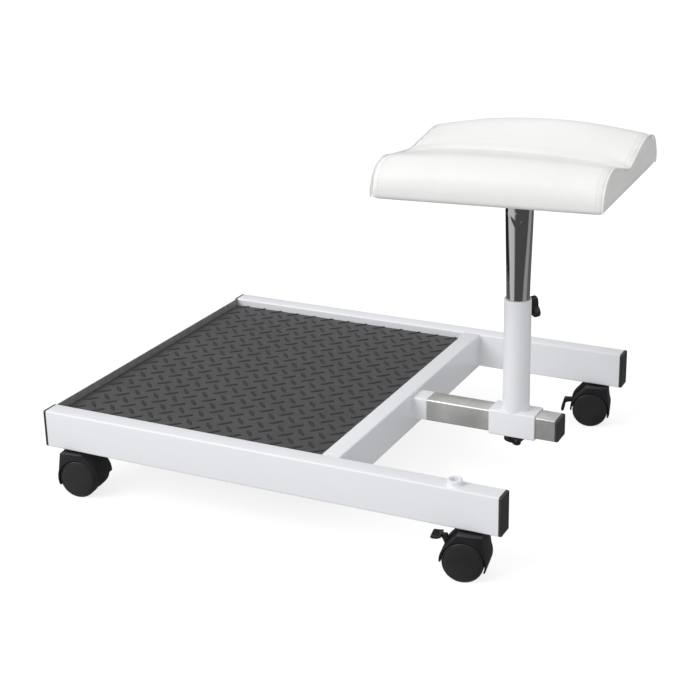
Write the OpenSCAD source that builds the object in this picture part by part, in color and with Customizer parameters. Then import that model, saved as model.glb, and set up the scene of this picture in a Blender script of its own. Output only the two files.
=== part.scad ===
// Pedicure stool: a wheeled platform frame with a padded leg rest on a sliding, telescopic column.
// +X runs along the side rails towards the leg rest, -Y is the front side, +Z is up.
// The origin is on the floor, below the middle of the whole stool.

/* [Frame] */
// Length of each side rail
rail_length = 625; // [560:5:700]
// Width of the rail and crossbar tube
rail_width = 25; // [22:1:30]
// Height of the rail and crossbar tube
rail_height = 50; // [45:1:60]
// Wall of the rectangular tubes
rail_wall = 1.5; // [1.2:0.1:2]
// Overall width across both rails
frame_width = 506; // [450:2:560]
// Distance of the crossbar's centre from the middle of the rails
crossbar_offset = 87; // [60:1:110]
// Thickness of the visible head of a rail cap
cap_head = 4; // [3:0.5:6]

/* [Platform] */
// Depth of the mat's surface below the top of the rails
mat_recess = 10; // [6:1:14]
// Thickness of the rubber mat without its treads
mat_thickness = 4; // [3:0.5:6]
// Radius of the mat's corners
mat_corner = 9; // [4:1:16]
// Thickness of the sheet steel tray
tray_sheet = 1.5; // [1:0.5:2]

/* [Slide bar and carriage] */
// Side of the square slide bar
bar_size = 30; // [25:1:35]
// Length of the slide bar beyond the crossbar
bar_length = 199; // [170:0.5:220]
// Depth of the bar's axis below the top of the rails
bar_drop = 20; // [18:1:24]
// Outer side of the square sleeve
sleeve_size = 35; // [35:1:38]
// Length of the sleeve
sleeve_length = 63; // [50:1:75]
// Distance of the sleeve from the crossbar, as stored
sleeve_gap = 109; // [90:0.5:120]

/* [Column and post] */
// Outer diameter of the column tube
column_diameter = 35; // [34:1:38]
// Height of the column tube above the sleeve
column_height = 151; // [120:1:170]
// Diameter of the round post
post_diameter = 30; // [29:0.5:30]
// Height of the leg rest's underside above the rails' top
rest_height = 302; // [290:1:315]
// Width of the post's flattened top
post_flare_width = 36.5; // [33:0.5:38]
// Depth of the post's flattened top
post_flare_depth = 22; // [20:1:26]

/* [Clamp knobs] */
// Mean radius of the three-lobed knob
knob_radius = 10.5; // [9:0.5:12]
// How far the lobes swing out and in from the mean radius
knob_lobe = 5; // [3:0.5:5.5]
// Thickness of the knob
knob_depth = 10; // [8:1:14]
// Direction of the height knob around the column, from +X towards +Y
knob_direction = 60; // [40:5:80]
// Height of the height knob's axis above the rails' top
knob_height = 132; // [110:1:138]

/* [Leg rest] */
// Length of the cushion
cushion_length = 276; // [250:2:300]
// Width of the cushion
cushion_width = 266; // [240:2:290]
// Height of the cushion at its two crowns
cushion_crown = 54; // [42:1:62]
// Height of the cushion in its valley
cushion_valley = 35; // [28:1:42]
// Turn of the leg rest about the post, as stored
cushion_turn = 4.5; // [0:0.5:10]

/* [Casters] */
// Height from the floor to the underside of the rails
caster_height = 62; // [60:1:66]
// Diameter of the caster wheels
wheel_diameter = 50; // [48:1:50]
// Width across both wheels of a caster
caster_width = 43; // [42:1:46]
// Distance of the axle behind the stem
caster_trail = 18; // [15:1:20]
// Distance of each stem from the end of the rail
stem_inset = 25.5; // [22:0.5:32]

/* [Hidden] */
$fn = 64;

white = [0.93, 0.94, 0.94];
black = [0.10, 0.10, 0.11];
steel = [0.66, 0.66, 0.65];
zinc = [0.45, 0.46, 0.47];

// Levels above the floor and places along the stool
rail_base = caster_height;
rail_top = rail_base + rail_height;
inner_half = frame_width / 2 - rail_width;
rail_y = frame_width / 2 - rail_width / 2;
post_to_rails = crossbar_offset + rail_width / 2 + sleeve_gap + sleeve_length / 2;
reach_right = post_to_rails + cushion_length / 2 + cushion_width / 2 * sin(cushion_turn);
reach_left = rail_length / 2 + cap_head;
rails_x = (reach_left - reach_right) / 2;
rail_left = rails_x - rail_length / 2;
rail_right = rails_x + rail_length / 2;
crossbar_x = rails_x + crossbar_offset;
crossbar_left = crossbar_x - rail_width / 2;
crossbar_right = crossbar_x + rail_width / 2;
post_x = rails_x + post_to_rails;

// Square tube details
tube_corner = 2;
bar_corner = 2.2;
bar_wall = 2;
bar_cap_head = 4.5;
sleeve_clearance = 0.2;
bar_z = rail_top - bar_drop;
sleeve_bore = bar_size + 2 * sleeve_clearance;
sleeve_left = crossbar_right + sleeve_gap;
sleeve_top = bar_z + sleeve_size / 2;
sleeve_bottom = bar_z - sleeve_size / 2;

// Platform details
tray_z = rail_top - mat_recess - mat_thickness - tray_sheet;
tray_left = rail_left + tray_sheet;
end_tube_size = 25;
ledge_size = 15;
ledge_sheet = 2;
mat_play = 0.4;

// Lamp socket
socket_offset = 254;
socket_outer = 9;
socket_bore = 6.2;
socket_proud = 7;
socket_length = 27;

// Column and post details
column_wall = 2;
column_bore = column_diameter - 2 * column_wall;
column_top = sleeve_top + column_height;
post_wall = 1.5;
post_foot_z = sleeve_top + 8;
post_foot_height = 12;
post_flare_z = rail_top + 160;
plate_thickness = 3;
cushion_z = rail_top + rest_height;
plate_z = cushion_z - plate_thickness;
post_oval_run = 26;
post_blend_lap = 2;
post_blend_play = 0.6;
post_solid_run = 4;

// Clamp screws and knobs
screw_radius = 3.9;
screw_hole = 4;
tip_radius = 3;
tip_length = 2.5;
tip_gap = 0.3;
height_knob_gap = 2;
slide_knob_gap = 3;
knob_hub_radius = 7;
slide_knob_turn = -3;
height_knob_turn = 70;
height_axis_z = rail_top + knob_height;
post_surface = post_diameter / 2;
height_knob_face = column_diameter / 2 + height_knob_gap;
slide_knob_face = sleeve_size / 2 + slide_knob_gap;

// Leg rest details
plate_length = 130;
plate_width = 110;
screw_inset = 14;
plate_screw_radius = 2.4;
plate_hole_radius = 2.6;
board_thickness = 12;
board_inset = 14;
valley_place = 0.45;
screw_head_radius = 4.5;
screw_head_height = 2.4;
screw_shank = 9;

// Casters: position signs along X and Y, and the resting turn of each hood
corner_front_left = [-1, -1, 188];
corner_front_right = [1, -1, 10];
corner_rear_left = [-1, 1, 174];
corner_rear_right = [1, 1, 14];
stem_radius = 4;
stem_clearance = 0.05;
stem_depth = 21;
stem_collar_radius = 7;
stem_collar_height = 1.6;
nut_height = 6.5;
nut_radius = 7.5;
wheel_radius = wheel_diameter / 2;
axle_drop = caster_height - wheel_radius;
axle_radius = 3;
web_thickness = 11;
wheel_gap = 0.6;
hood_gap = 1.2;
hood_shell = 2.3;
hood_top_gap = 2;
hood_top_front = -7;
hood_top_rear = 23;
hood_front_angle = 133;
hood_rear_angle = 20;
hood_core_radius = 8;
hood_core_height = 11;
wheel_inner_face = web_thickness / 2 + wheel_gap;
wheel_outer_face = caster_width / 2;
wheel_face_dome = 1.2;
hood_width = caster_width - 2 * wheel_face_dome;
brake_pivot = [-20, 8];
brake_arm = 17;
brake_arm_angle = 105;
brake_paddle = 13;
brake_paddle_width = 18;
brake_sheet = 3;
brake_blade = 5.4;
brake_slot = 6.2;
brake_pin_radius = 1.5;
brake_travel = 75;
brake_boss_radius = 3;
brake_knee = brake_arm * [cos(brake_arm_angle), sin(brake_arm_angle)];

// A rectangle with round corners, built from exact arcs
module rounded_rect(width, height, radius) {
    square([width - 2 * radius, height], center = true);
    square([width, height - 2 * radius], center = true);
    for (sx = [-1, 1], sy = [-1, 1])
        translate([sx * (width / 2 - radius), sy * (height / 2 - radius)])
            circle(r = radius);
}

// The wall of a rectangular tube
module tube_section(width, height, wall, radius) {
    difference() {
        rounded_rect(width, height, radius);
        rounded_rect(width - 2 * wall, height - 2 * wall, max(radius - wall, 0.4));
    }
}

// Runs a section drawn in the Y-Z plane along +X from x = start
module along_x(start, length) {
    translate([start, 0, 0])
        rotate([90, 0, 90])
            linear_extrude(length)
                children();
}

// Runs a section drawn in the X-Z plane along Y, centred on y = 0
module along_y(length) {
    rotate([90, 0, 0])
        linear_extrude(length, center = true)
            children();
}

// One side rail, with holes for its two caster stems
module rail(side) {
    difference() {
        translate([0, side * rail_y, rail_base + rail_height / 2])
            along_x(rail_left, rail_length)
                tube_section(rail_width, rail_height, rail_wall, tube_corner);
        for (end = [-1, 1])
            translate([rails_x + end * (rail_length / 2 - stem_inset), side * rail_y, rail_base - 1])
                cylinder(r = stem_radius + 0.2, h = rail_wall + 2);
    }
}

module rail_front() {
    color(white)
        difference() {
            rail(-1);
            translate([rails_x + socket_offset, -rail_y, rail_top - rail_wall - 1])
                cylinder(r = socket_outer + 0.1, h = rail_wall + 2);
        }
}

module rail_rear() {
    color(white) rail(1);
}

module crossbar() {
    color(white)
        translate([crossbar_x, 0, rail_base + rail_height / 2])
            along_y(2 * inner_half)
                tube_section(rail_width, rail_height, rail_wall, tube_corner);
}

// Square tube under the tray that ties the rails together at the platform's end
module end_crossbar() {
    color(white)
        translate([rail_left + end_tube_size / 2, 0, tray_z - end_tube_size / 2])
            along_y(2 * inner_half)
                tube_section(end_tube_size, end_tube_size, rail_wall, tube_corner);
}

// Sheet tray with one edge folded up to the top of the rails
module tray() {
    color(zinc) {
        translate([rail_left, -inner_half, tray_z])
            cube([crossbar_left - rail_left, 2 * inner_half, tray_sheet]);
        translate([rail_left, -inner_half, tray_z])
            cube([tray_sheet, 2 * inner_half, rail_top - tray_z]);
    }
}

// Angle strips welded along the rails, which carry the tray
module tray_ledges() {
    start = rail_left + end_tube_size;
    color(white)
        for (side = [-1, 1])
            scale([1, side, 1])
                translate([0, inner_half, tray_z])
                    along_x(start, crossbar_left - start)
                        polygon([[0, 0], [-ledge_size, 0], [-ledge_size, -ledge_sheet],
                            [-ledge_sheet, -ledge_sheet], [-ledge_sheet, -ledge_size], [0, -ledge_size]]);
}

module tread_mat() {
    mat_length = crossbar_left - tray_left - 2 * mat_play;
    mat_width = 2 * (inner_half - mat_play);
    color(black)
        translate([(crossbar_left + tray_left) / 2, 0, tray_z + tray_sheet])
            linear_extrude(mat_thickness)
                rounded_rect(mat_length, mat_width, mat_corner);
}

// A plastic plug with a bevelled head, drawn for a tube end that faces +X
module tube_cap(width, height, wall, head, radius) {
    plug = 14;
    plug_play = 0.15;
    bevel = 1.2;
    inner_width = width - 2 * wall - 2 * plug_play;
    inner_height = height - 2 * wall - 2 * plug_play;
    along_x(0, head - bevel)
        rounded_rect(width, height, radius);
    hull() {
        along_x(head - bevel, 0.01)
            rounded_rect(width, height, radius, $fn = 24);
        along_x(head - 0.01, 0.01)
            rounded_rect(width - 2 * bevel, height - 2 * bevel, radius, $fn = 24);
    }
    along_x(-plug, plug)
        tube_section(inner_width, inner_height, wall, 1);
}

module rail_cap(end, side) {
    color(black)
        translate([rails_x + end * rail_length / 2, side * rail_y, rail_base + rail_height / 2])
            rotate([0, 0, end > 0 ? 0 : 180])
                tube_cap(rail_width, rail_height, rail_wall, cap_head, tube_corner);
}

module cap_front_left() { rail_cap(-1, -1); }
module cap_front_right() { rail_cap(1, -1); }
module cap_rear_left() { rail_cap(-1, 1); }
module cap_rear_right() { rail_cap(1, 1); }

// Short bush through the top of the front rail, which takes a lamp's pin
module lamp_socket() {
    color(white)
        translate([rails_x + socket_offset, -rail_y, rail_top + socket_proud - socket_length])
            difference() {
                cylinder(r = socket_outer, h = socket_length);
                translate([0, 0, -1])
                    cylinder(r = socket_bore, h = socket_length + 2);
            }
}

module slide_bar() {
    color(steel)
        translate([0, 0, bar_z])
            along_x(crossbar_right, bar_length)
                tube_section(bar_size, bar_size, bar_wall, bar_corner);
}

module slide_bar_cap() {
    color(black)
        translate([crossbar_right + bar_length, 0, bar_z])
            tube_cap(bar_size, bar_size, bar_wall, bar_cap_head, bar_corner);
}

// Square nuts on the rails' floor, one over each caster stem
module stem_nuts() {
    color(zinc)
        for (end = [-1, 1], side = [-1, 1])
            translate([rails_x + end * (rail_length / 2 - stem_inset), side * rail_y,
                rail_base + rail_wall])
                difference() {
                    cylinder(r = nut_radius, h = nut_height, $fn = 6);
                    translate([0, 0, -1])
                        cylinder(r = stem_radius, h = nut_height + 2);
                }
}

// Square sleeve that slides along the bar
module sleeve() {
    color(white)
        difference() {
            translate([0, 0, bar_z])
                along_x(sleeve_left, sleeve_length)
                    difference() {
                        rounded_rect(sleeve_size, sleeve_size, 2.5);
                        rounded_rect(sleeve_bore, sleeve_bore, bar_corner);
                    }
            translate([post_x, 0, sleeve_bottom - 1])
                cylinder(r = screw_hole, h = 5);
        }
}

// Places its children with +X pointing out along the height clamp's axis
module at_height_clamp() {
    translate([post_x, 0, height_axis_z])
        rotate([0, 0, knob_direction])
            children();
}

// Places its children with +X pointing down along the slide clamp's axis
module at_slide_clamp() {
    translate([post_x, 0, bar_z])
        rotate([0, 90, 0])
            children();
}

module column() {
    color(white)
        difference() {
            translate([post_x, 0, sleeve_top])
                cylinder(d = column_diameter, h = column_height);
            translate([post_x, 0, sleeve_top - 1])
                cylinder(d = column_bore, h = column_height + 2);
            at_height_clamp()
                rotate([0, 90, 0])
                    cylinder(r = screw_hole, h = column_diameter);
        }
}

// Weld bead around the foot of the column
module column_weld() {
    bead = 3;
    color(white)
        translate([post_x, 0, sleeve_top])
            intersection() {
                rotate_extrude()
                    translate([column_diameter / 2, 0])
                        polygon([[0, 0], [bead, 0], [bead * 0.45, bead * 0.35], [0, bead]]);
                translate([0, 0, bead / 2])
                    cube([60, sleeve_size - 1, bead], center = true);
            }
}

// Outline of a knob with three lobes
function knob_outline(steps) = [for (i = [0:steps - 1])
    let (a = i * 360 / steps, r = knob_radius + knob_lobe * cos(3 * a))
        [r * cos(a), r * sin(a)]];

// The soft tip, the screw and the knob of a clamp lie along +X, from the surface that they press on
module clamp_tip(contact) {
    rotate([0, 90, 0])
        translate([0, 0, contact + tip_gap])
            cylinder(r = tip_radius, h = tip_length);
}

module clamp_screw(contact, knob_face) {
    tip_end = contact + tip_gap + tip_length;
    rotate([0, 90, 0])
        translate([0, 0, tip_end])
            cylinder(r = screw_radius, h = knob_face + knob_depth / 2 - tip_end);
}

module clamp_knob(knob_face, turn) {
    bevel = 1;
    rotate([turn, 0, 0])
        rotate([0, 90, 0])
            difference() {
                union() {
                    translate([0, 0, knob_face])
                        linear_extrude(knob_depth - bevel)
                            polygon(knob_outline(72));
                    translate([0, 0, knob_face + knob_depth - bevel])
                        linear_extrude(bevel, scale = 0.9)
                            polygon(knob_outline(72));
                    translate([0, 0, knob_face - 0.8])
                        cylinder(r = knob_hub_radius, h = 2);
                }
                translate([0, 0, knob_face - 1])
                    cylinder(r = screw_radius, h = 1 + knob_depth / 2);
            }
}

module height_tip() {
    color("ivory") at_height_clamp() clamp_tip(post_surface);
}

module height_screw() {
    color(steel) at_height_clamp() clamp_screw(post_surface, height_knob_face);
}

module height_knob() {
    color(black) at_height_clamp() clamp_knob(height_knob_face, height_knob_turn);
}

module slide_tip() {
    color("ivory") at_slide_clamp() clamp_tip(bar_size / 2);
}

module slide_screw() {
    color(steel) at_slide_clamp() clamp_screw(bar_size / 2, slide_knob_face);
}

module slide_knob() {
    color(black) at_slide_clamp() clamp_knob(slide_knob_face, slide_knob_turn);
}

// Plastic plug that guides the foot of the post inside the column
module post_foot() {
    color(black)
        translate([post_x, 0, post_foot_z])
            difference() {
                cylinder(d = column_bore - 0.2, h = post_foot_height);
                translate([0, 0, -1])
                    cylinder(d = column_bore - 8, h = post_foot_height - 3);
            }
}

// An oval with straight long sides, as a flattened tube has
module oval(width, depth) {
    hull()
        for (sx = [-1, 1])
            translate([sx * (width - depth) / 2, 0])
                circle(d = depth, $fn = 32);
}

// Round tube whose upper end is gradually flattened
module post() {
    start = post_foot_z + post_foot_height;
    color([0.75, 0.76, 0.77])
        translate([post_x, 0, 0])
            difference() {
                union() {
                    translate([0, 0, start])
                        cylinder(d = post_diameter, h = post_flare_z - start);
                    rotate([0, 0, cushion_turn])
                        hull() {
                            translate([0, 0, post_flare_z - post_blend_lap])
                                linear_extrude(0.5)
                                    circle(d = post_diameter - post_blend_play, $fn = 32);
                            translate([0, 0, plate_z - post_oval_run])
                                linear_extrude(post_oval_run)
                                    oval(post_flare_width, post_flare_depth);
                        }
                }
                translate([0, 0, start - 1])
                    cylinder(d = post_diameter - 2 * post_wall, h = post_flare_z - start - post_solid_run);
            }
}

// Places its children in the leg rest's own frame, on the underside of the cushion
module at_leg_rest() {
    translate([post_x, 0, cushion_z])
        rotate([0, 0, cushion_turn])
            children();
}

module at_plate_screws() {
    for (sx = [-1, 1], sy = [-1, 1])
        translate([sx * (plate_length / 2 - screw_inset), sy * (plate_width / 2 - screw_inset), 0])
            children();
}

module mount_plate() {
    color(zinc)
        at_leg_rest()
            difference() {
                translate([0, 0, -plate_thickness])
                    linear_extrude(plate_thickness)
                        rounded_rect(plate_length, plate_width, 10);
                at_plate_screws()
                    translate([0, 0, -plate_thickness - 1])
                        cylinder(r = plate_hole_radius, h = plate_thickness + 2);
            }
}

module plate_screws() {
    color(steel)
        at_leg_rest()
            at_plate_screws() {
                translate([0, 0, -plate_thickness - screw_head_height])
                    cylinder(r = screw_head_radius, h = screw_head_height);
                translate([0, 0, -plate_thickness - 0.01])
                    cylinder(r = plate_screw_radius, h = plate_thickness + screw_shank);
            }
}

module cushion_board() {
    color("burlywood")
        at_leg_rest()
            difference() {
                linear_extrude(board_thickness)
                    rounded_rect(cushion_length - 2 * board_inset, cushion_width - 2 * board_inset, 12);
                at_plate_screws()
                    translate([0, 0, -1])
                        cylinder(r = plate_screw_radius + 0.05, h = 11);
            }
}

// Height of the cushion's top across its width: two crowns, a valley between, and rolled edges
function crown_phase(t) = t < valley_place ? t / valley_place : (t - valley_place) / (1 - valley_place);
function roll_off(t) = pow(1 - pow(abs(2 * t - 1), 10), 0.4);
function cushion_top(t) = roll_off(t)
    * (cushion_valley + (cushion_crown - cushion_valley) * sin(180 * crown_phase(t)));

module cushion_section() {
    steps = 44;
    polygon(concat(
        [for (i = [0:steps]) [cushion_width * (i / steps - 0.5), 6 + (cushion_top(i / steps) - 6)
            * (i == 0 || i == steps ? 0.3 : 1)]],
        [[cushion_width / 2 - 5, 0], [5 - cushion_width / 2, 0]]));
}

module cushion() {
    color(white)
        at_leg_rest()
            difference() {
                intersection() {
                    along_x(-cushion_length / 2, cushion_length)
                        cushion_section();
                    linear_extrude(cushion_crown + 10)
                        rounded_rect(cushion_length, cushion_width, 10);
                }
                translate([0, 0, -1])
                    linear_extrude(board_thickness + 1)
                        rounded_rect(cushion_length - 2 * board_inset, cushion_width - 2 * board_inset, 12);
            }
}

// Places its children at a caster's stem, on the underside of the rail, turned as it rests.
// The wheels trail towards -X in this frame.
module at_caster(corner) {
    translate([rails_x + corner[0] * (rail_length / 2 - stem_inset), corner[1] * rail_y, rail_base])
        rotate([0, 0, corner[2]])
            children();
}

module at_axle() {
    translate([-caster_trail, 0, -axle_drop])
        children();
}

module caster_stem(corner) {
    color(steel)
        at_caster(corner) {
            translate([0, 0, -stem_depth])
                cylinder(r = stem_radius, h = stem_depth);
            translate([0, 0, -stem_collar_height])
                cylinder(r = stem_collar_radius, h = stem_collar_height);
            cylinder(r = stem_radius - 0.05, h = 12);
        }
}

// Side view of the hood around the axle, above its slanted lower edge
module hood_outline(radius) {
    intersection() {
        union() {
            circle(r = radius);
            polygon([[hood_top_front, axle_drop - hood_top_gap],
                [hood_top_rear, axle_drop - hood_top_gap],
                radius * [cos(hood_rear_angle), sin(hood_rear_angle)], [0, 0],
                radius * [cos(hood_front_angle), sin(hood_front_angle)]]);
        }
        polygon([[-60, 1], [-17, -2], [40, -13], [40, 60], [-60, 60]]);
    }
}

// Room for the brake lever's arm to swing, seen from the side
module brake_sweep() {
    reach = brake_arm + 14;
    translate(brake_pivot)
        polygon(concat([[3.2, -3.2]],
            [for (a = [70:10:230]) [reach * cos(a), reach * sin(a)]]));
}

module caster_hood(corner, brake) {
    outer = wheel_radius + hood_gap + hood_shell;
    inner = wheel_radius + hood_gap;
    color(black)
        at_caster(corner)
            difference() {
                union() {
                    at_axle() {
                        difference() {
                            along_y(hood_width)
                                hood_outline(outer);
                            along_y(hood_width + 2)
                                circle(r = inner);
                        }
                        along_y(web_thickness) {
                            hood_outline(inner + 0.5);
                            circle(r = hood_core_radius);
                        }
                    }
                    translate([0, 0, -hood_core_height])
                        cylinder(r = hood_core_radius, h = hood_core_height - hood_top_gap);
                }
                translate([0, 0, -stem_depth - 0.5])
                    cylinder(r = stem_radius + stem_clearance, h = stem_depth + 2);
                at_axle()
                    rotate([90, 0, 0])
                        cylinder(r = axle_radius, h = web_thickness + 2, center = true);
                if (brake)
                    at_axle() {
                        along_y(brake_slot)
                            brake_sweep();
                        translate([brake_pivot[0], 0, brake_pivot[1]])
                            rotate([90, 0, 0])
                                cylinder(r = brake_pin_radius, h = web_thickness + 2, center = true);
                    }
            }
}

module caster_axle(corner) {
    length = 2 * (wheel_outer_face - 3.5);
    color(steel)
        at_caster(corner)
            at_axle()
                rotate([90, 0, 0])
                    cylinder(r = axle_radius, h = length, center = true);
}

// One wheel: side is -1 for the outer wheel, towards -Y before the caster is turned
module caster_wheel(corner, side) {
    width = wheel_outer_face - wheel_face_dome - wheel_inner_face;
    bore = axle_radius + 0.06;
    color(black)
        at_caster(corner)
            at_axle()
                rotate([side > 0 ? -90 : 90, 0, 0])
                    translate([0, 0, wheel_inner_face])
                        rotate_extrude()
                            polygon([[bore, 0], [9, 0], [9, 2.5], [wheel_radius - 4, 2.5],
                                [wheel_radius - 4, 0], [wheel_radius - 1, 0], [wheel_radius, 1],
                                [wheel_radius, width - 1.5], [wheel_radius - 1.5, width],
                                [wheel_radius - 6, width + wheel_face_dome * 0.75],
                                [0, width + wheel_face_dome],
                                [0, width - 1.8], [bore, width - 1.8]]);
}

// Lever of one caster's brake, up as drawn and turned down by the angle pressed
module caster_brake(corner, pressed) {
    color(black)
        at_caster(corner)
            at_axle()
                translate([brake_pivot[0], 0, brake_pivot[1]])
                    rotate([0, -pressed, 0])
                        difference() {
                            union() {
                                along_y(brake_blade) {
                                    circle(r = brake_boss_radius);
                                    brake_arm_outline();
                                }
                                along_y(brake_paddle_width)
                                    brake_paddle_outline();
                            }
                            rotate([90, 0, 0])
                                cylinder(r = brake_pin_radius + 0.06, h = 20, center = true);
                        }
}

module brake_arm_outline() {
    half = brake_sheet / 2;
    polygon([[-2.6, 1], [2.6, 0],
        brake_knee + [2.6, half],
        brake_knee + [-5, half],
        brake_knee + [-5, -half - 1],
        brake_knee + [-2.6, -5]]);
}

module brake_paddle_outline() {
    translate([brake_knee[0] - 4, brake_knee[1]])
        polygon([[0, 1.5], [0, -1.5], [-2, -1.5], [-4, -3],
            [2 - brake_paddle, -3], [-brake_paddle, -0.5], [2 - brake_paddle, 2.2],
            [3 - brake_paddle, 1], [-4, 1.2], [-2, 1.5]]);
}

module caster_brake_pin(corner) {
    color(steel)
        at_caster(corner)
            at_axle()
                translate([brake_pivot[0], 0, brake_pivot[1]])
                    rotate([90, 0, 0])
                        cylinder(r = brake_pin_radius, h = web_thickness, center = true);
}

rail_front();
rail_rear();
crossbar();
end_crossbar();
tray();
tray_ledges();
tread_mat();
cap_front_left();
cap_front_right();
cap_rear_left();
cap_rear_right();
lamp_socket();
slide_bar();
slide_bar_cap();
stem_nuts();
sleeve();
column();
column_weld();
height_tip();
height_screw();
height_knob();
slide_tip();
slide_screw();
slide_knob();
post_foot();
post();
mount_plate();
plate_screws();
cushion_board();
cushion();
caster_stem(corner_front_left);  // front_left_stem
caster_hood(corner_front_left, false);  // front_left_hood
caster_axle(corner_front_left);  // front_left_axle
caster_wheel(corner_front_left, 1);  // front_left_wheel_outer
caster_wheel(corner_front_left, -1);  // front_left_wheel_inner
caster_stem(corner_front_right);  // front_right_stem
caster_hood(corner_front_right, true);  // front_right_hood
caster_axle(corner_front_right);  // front_right_axle
caster_wheel(corner_front_right, -1);  // front_right_wheel_outer
caster_wheel(corner_front_right, 1);  // front_right_wheel_inner
caster_brake(corner_front_right, 0);  // front_right_brake
caster_brake_pin(corner_front_right);  // front_right_brake_pin
caster_stem(corner_rear_left);  // rear_left_stem
caster_hood(corner_rear_left, false);  // rear_left_hood
caster_axle(corner_rear_left);  // rear_left_axle
caster_wheel(corner_rear_left, -1);  // rear_left_wheel_outer
caster_wheel(corner_rear_left, 1);  // rear_left_wheel_inner
caster_stem(corner_rear_right);  // rear_right_stem
caster_hood(corner_rear_right, true);  // rear_right_hood
caster_axle(corner_rear_right);  // rear_right_axle
caster_wheel(corner_rear_right, 1);  // rear_right_wheel_outer
caster_wheel(corner_rear_right, -1);  // rear_right_wheel_inner
caster_brake(corner_rear_right, brake_travel);  // rear_right_brake
caster_brake_pin(corner_rear_right);  // rear_right_brake_pin
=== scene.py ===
import math

import bmesh
import bpy
from mathutils import Matrix, Vector, noise
from mathutils.bvhtree import BVHTree


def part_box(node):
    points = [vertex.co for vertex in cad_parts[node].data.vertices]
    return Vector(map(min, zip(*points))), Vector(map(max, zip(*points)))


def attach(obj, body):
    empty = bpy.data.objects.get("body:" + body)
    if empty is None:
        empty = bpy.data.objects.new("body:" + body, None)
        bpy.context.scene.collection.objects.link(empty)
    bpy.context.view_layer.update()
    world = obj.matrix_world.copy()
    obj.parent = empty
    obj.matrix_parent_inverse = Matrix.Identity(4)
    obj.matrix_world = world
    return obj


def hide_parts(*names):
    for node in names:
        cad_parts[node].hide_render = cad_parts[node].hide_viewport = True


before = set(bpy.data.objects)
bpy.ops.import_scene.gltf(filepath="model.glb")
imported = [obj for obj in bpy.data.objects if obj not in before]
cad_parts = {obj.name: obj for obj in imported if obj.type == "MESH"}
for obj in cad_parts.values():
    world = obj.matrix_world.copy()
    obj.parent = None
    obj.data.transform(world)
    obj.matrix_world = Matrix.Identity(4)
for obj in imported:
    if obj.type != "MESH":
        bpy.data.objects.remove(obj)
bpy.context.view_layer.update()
mm = 0.001
corners = ("front_left", "front_right", "rear_left", "rear_right")


def middle(node):
    low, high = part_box(node)
    return (low + high) / 2


def outerRadius(node):
    low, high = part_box(node)
    return (high.x - low.x) / 2


# ---- making meshes

def addObject(name, data):
    thing = bpy.data.objects.new(name, data)
    bpy.context.scene.collection.objects.link(thing)
    return thing


def spin(degrees, axis):
    return Matrix.Rotation(math.radians(degrees), 4, axis)


def shift(x, y, z):
    return Matrix.Translation((x, y, z))


def newPiece(name, points, faces):
    mesh = bpy.data.meshes.new(name)
    mesh.from_pydata([tuple(p) for p in points], [], faces)
    return addObject(name, mesh)


def settle(piece):  # live modifiers become a plain mesh
    graph = bpy.context.evaluated_depsgraph_get()
    mesh = bpy.data.meshes.new_from_object(piece.evaluated_get(graph), depsgraph=graph)
    piece.modifiers.clear()
    piece.data = mesh
    return piece


def pointOutwards(piece):  # merges doubles, so that poles close, and turns every face out
    shell = bmesh.new()
    shell.from_mesh(piece.data)
    bmesh.ops.remove_doubles(shell, verts=shell.verts, dist=2e-6)
    bmesh.ops.recalc_face_normals(shell, faces=shell.faces)
    shell.to_mesh(piece.data)
    shell.free()
    return piece


def shadeSmooth(piece, sharpAngle=35):
    piece.data.shade_smooth()
    piece.data.set_sharp_from_angle(angle=math.radians(sharpAngle))
    return piece


def roundEdges(piece, width, segments=3, angle=30):
    bevel = piece.modifiers.new("edges", "BEVEL")
    bevel.width = width
    bevel.segments = segments
    bevel.limit_method = "ANGLE"
    bevel.angle_limit = math.radians(angle)
    return settle(piece)


def cutAway(piece, cutter):
    carve = piece.modifiers.new("carve", "BOOLEAN")
    carve.object = cutter
    carve.solver = "EXACT"
    settle(piece)
    bpy.data.objects.remove(cutter)


def joinPieces(name, pieces):  # pieces of one body and one finish become one object
    shell = bmesh.new()
    for piece in pieces:
        shell.from_mesh(piece.data)
    joined = newPiece(name, [], [])
    shell.to_mesh(joined.data)
    shell.free()
    for piece in pieces:
        bpy.data.objects.remove(piece)
    return shadeSmooth(joined)


def movePoints(piece, matrix):
    piece.data.transform(matrix)
    return piece


def skinRings(name, rings, closed=False, caps=True):  # skins lists of points of one length
    count = len(rings[0])
    faces = []
    for r in range(len(rings) if closed else len(rings) - 1):
        a = r * count
        b = (r + 1) % len(rings) * count
        for i in range(count):
            j = (i + 1) % count
            faces.append((a + i, a + j, b + j, b + i))
    if caps and not closed:
        faces.append(tuple(range(count))[::-1])
        faces.append(tuple(range(len(rings) * count - count, len(rings) * count)))
    return pointOutwards(newPiece(name, [p for ring in rings for p in ring], faces))


def anglesAround(count, start=0.0):
    return [2 * math.pi * (k + start) / count for k in range(count)]


def arc(centre, radius, start, end, steps=6):  # points of an arc, in degrees
    turns = [math.radians(start + (end - start) * k / steps) for k in range(steps + 1)]
    return [(centre[0] + radius * math.cos(t), centre[1] + radius * math.sin(t)) for t in turns]


def roundedSection(width, height, radius, steps=6):
    points = []
    for quarter, (su, sv) in enumerate(((1, 1), (-1, 1), (-1, -1), (1, -1))):
        centre = (su * (width / 2 - radius), sv * (height / 2 - radius))
        points += arc(centre, radius, 90 * quarter, 90 * quarter + 90, steps)
    return points


def turned(name, profile, place=Matrix(), steps=64, closed=False):  # turns (radius, height) points
    rings = [[place @ Vector((radius * math.cos(a), radius * math.sin(a), height))
              for a in anglesAround(steps)] for radius, height in profile]
    return shadeSmooth(skinRings(name, rings, closed, caps=False))


def alongX(u, v, s):
    return Vector((s, u, v))


def alongY(u, v, s):
    return Vector((u, s, v))


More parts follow.
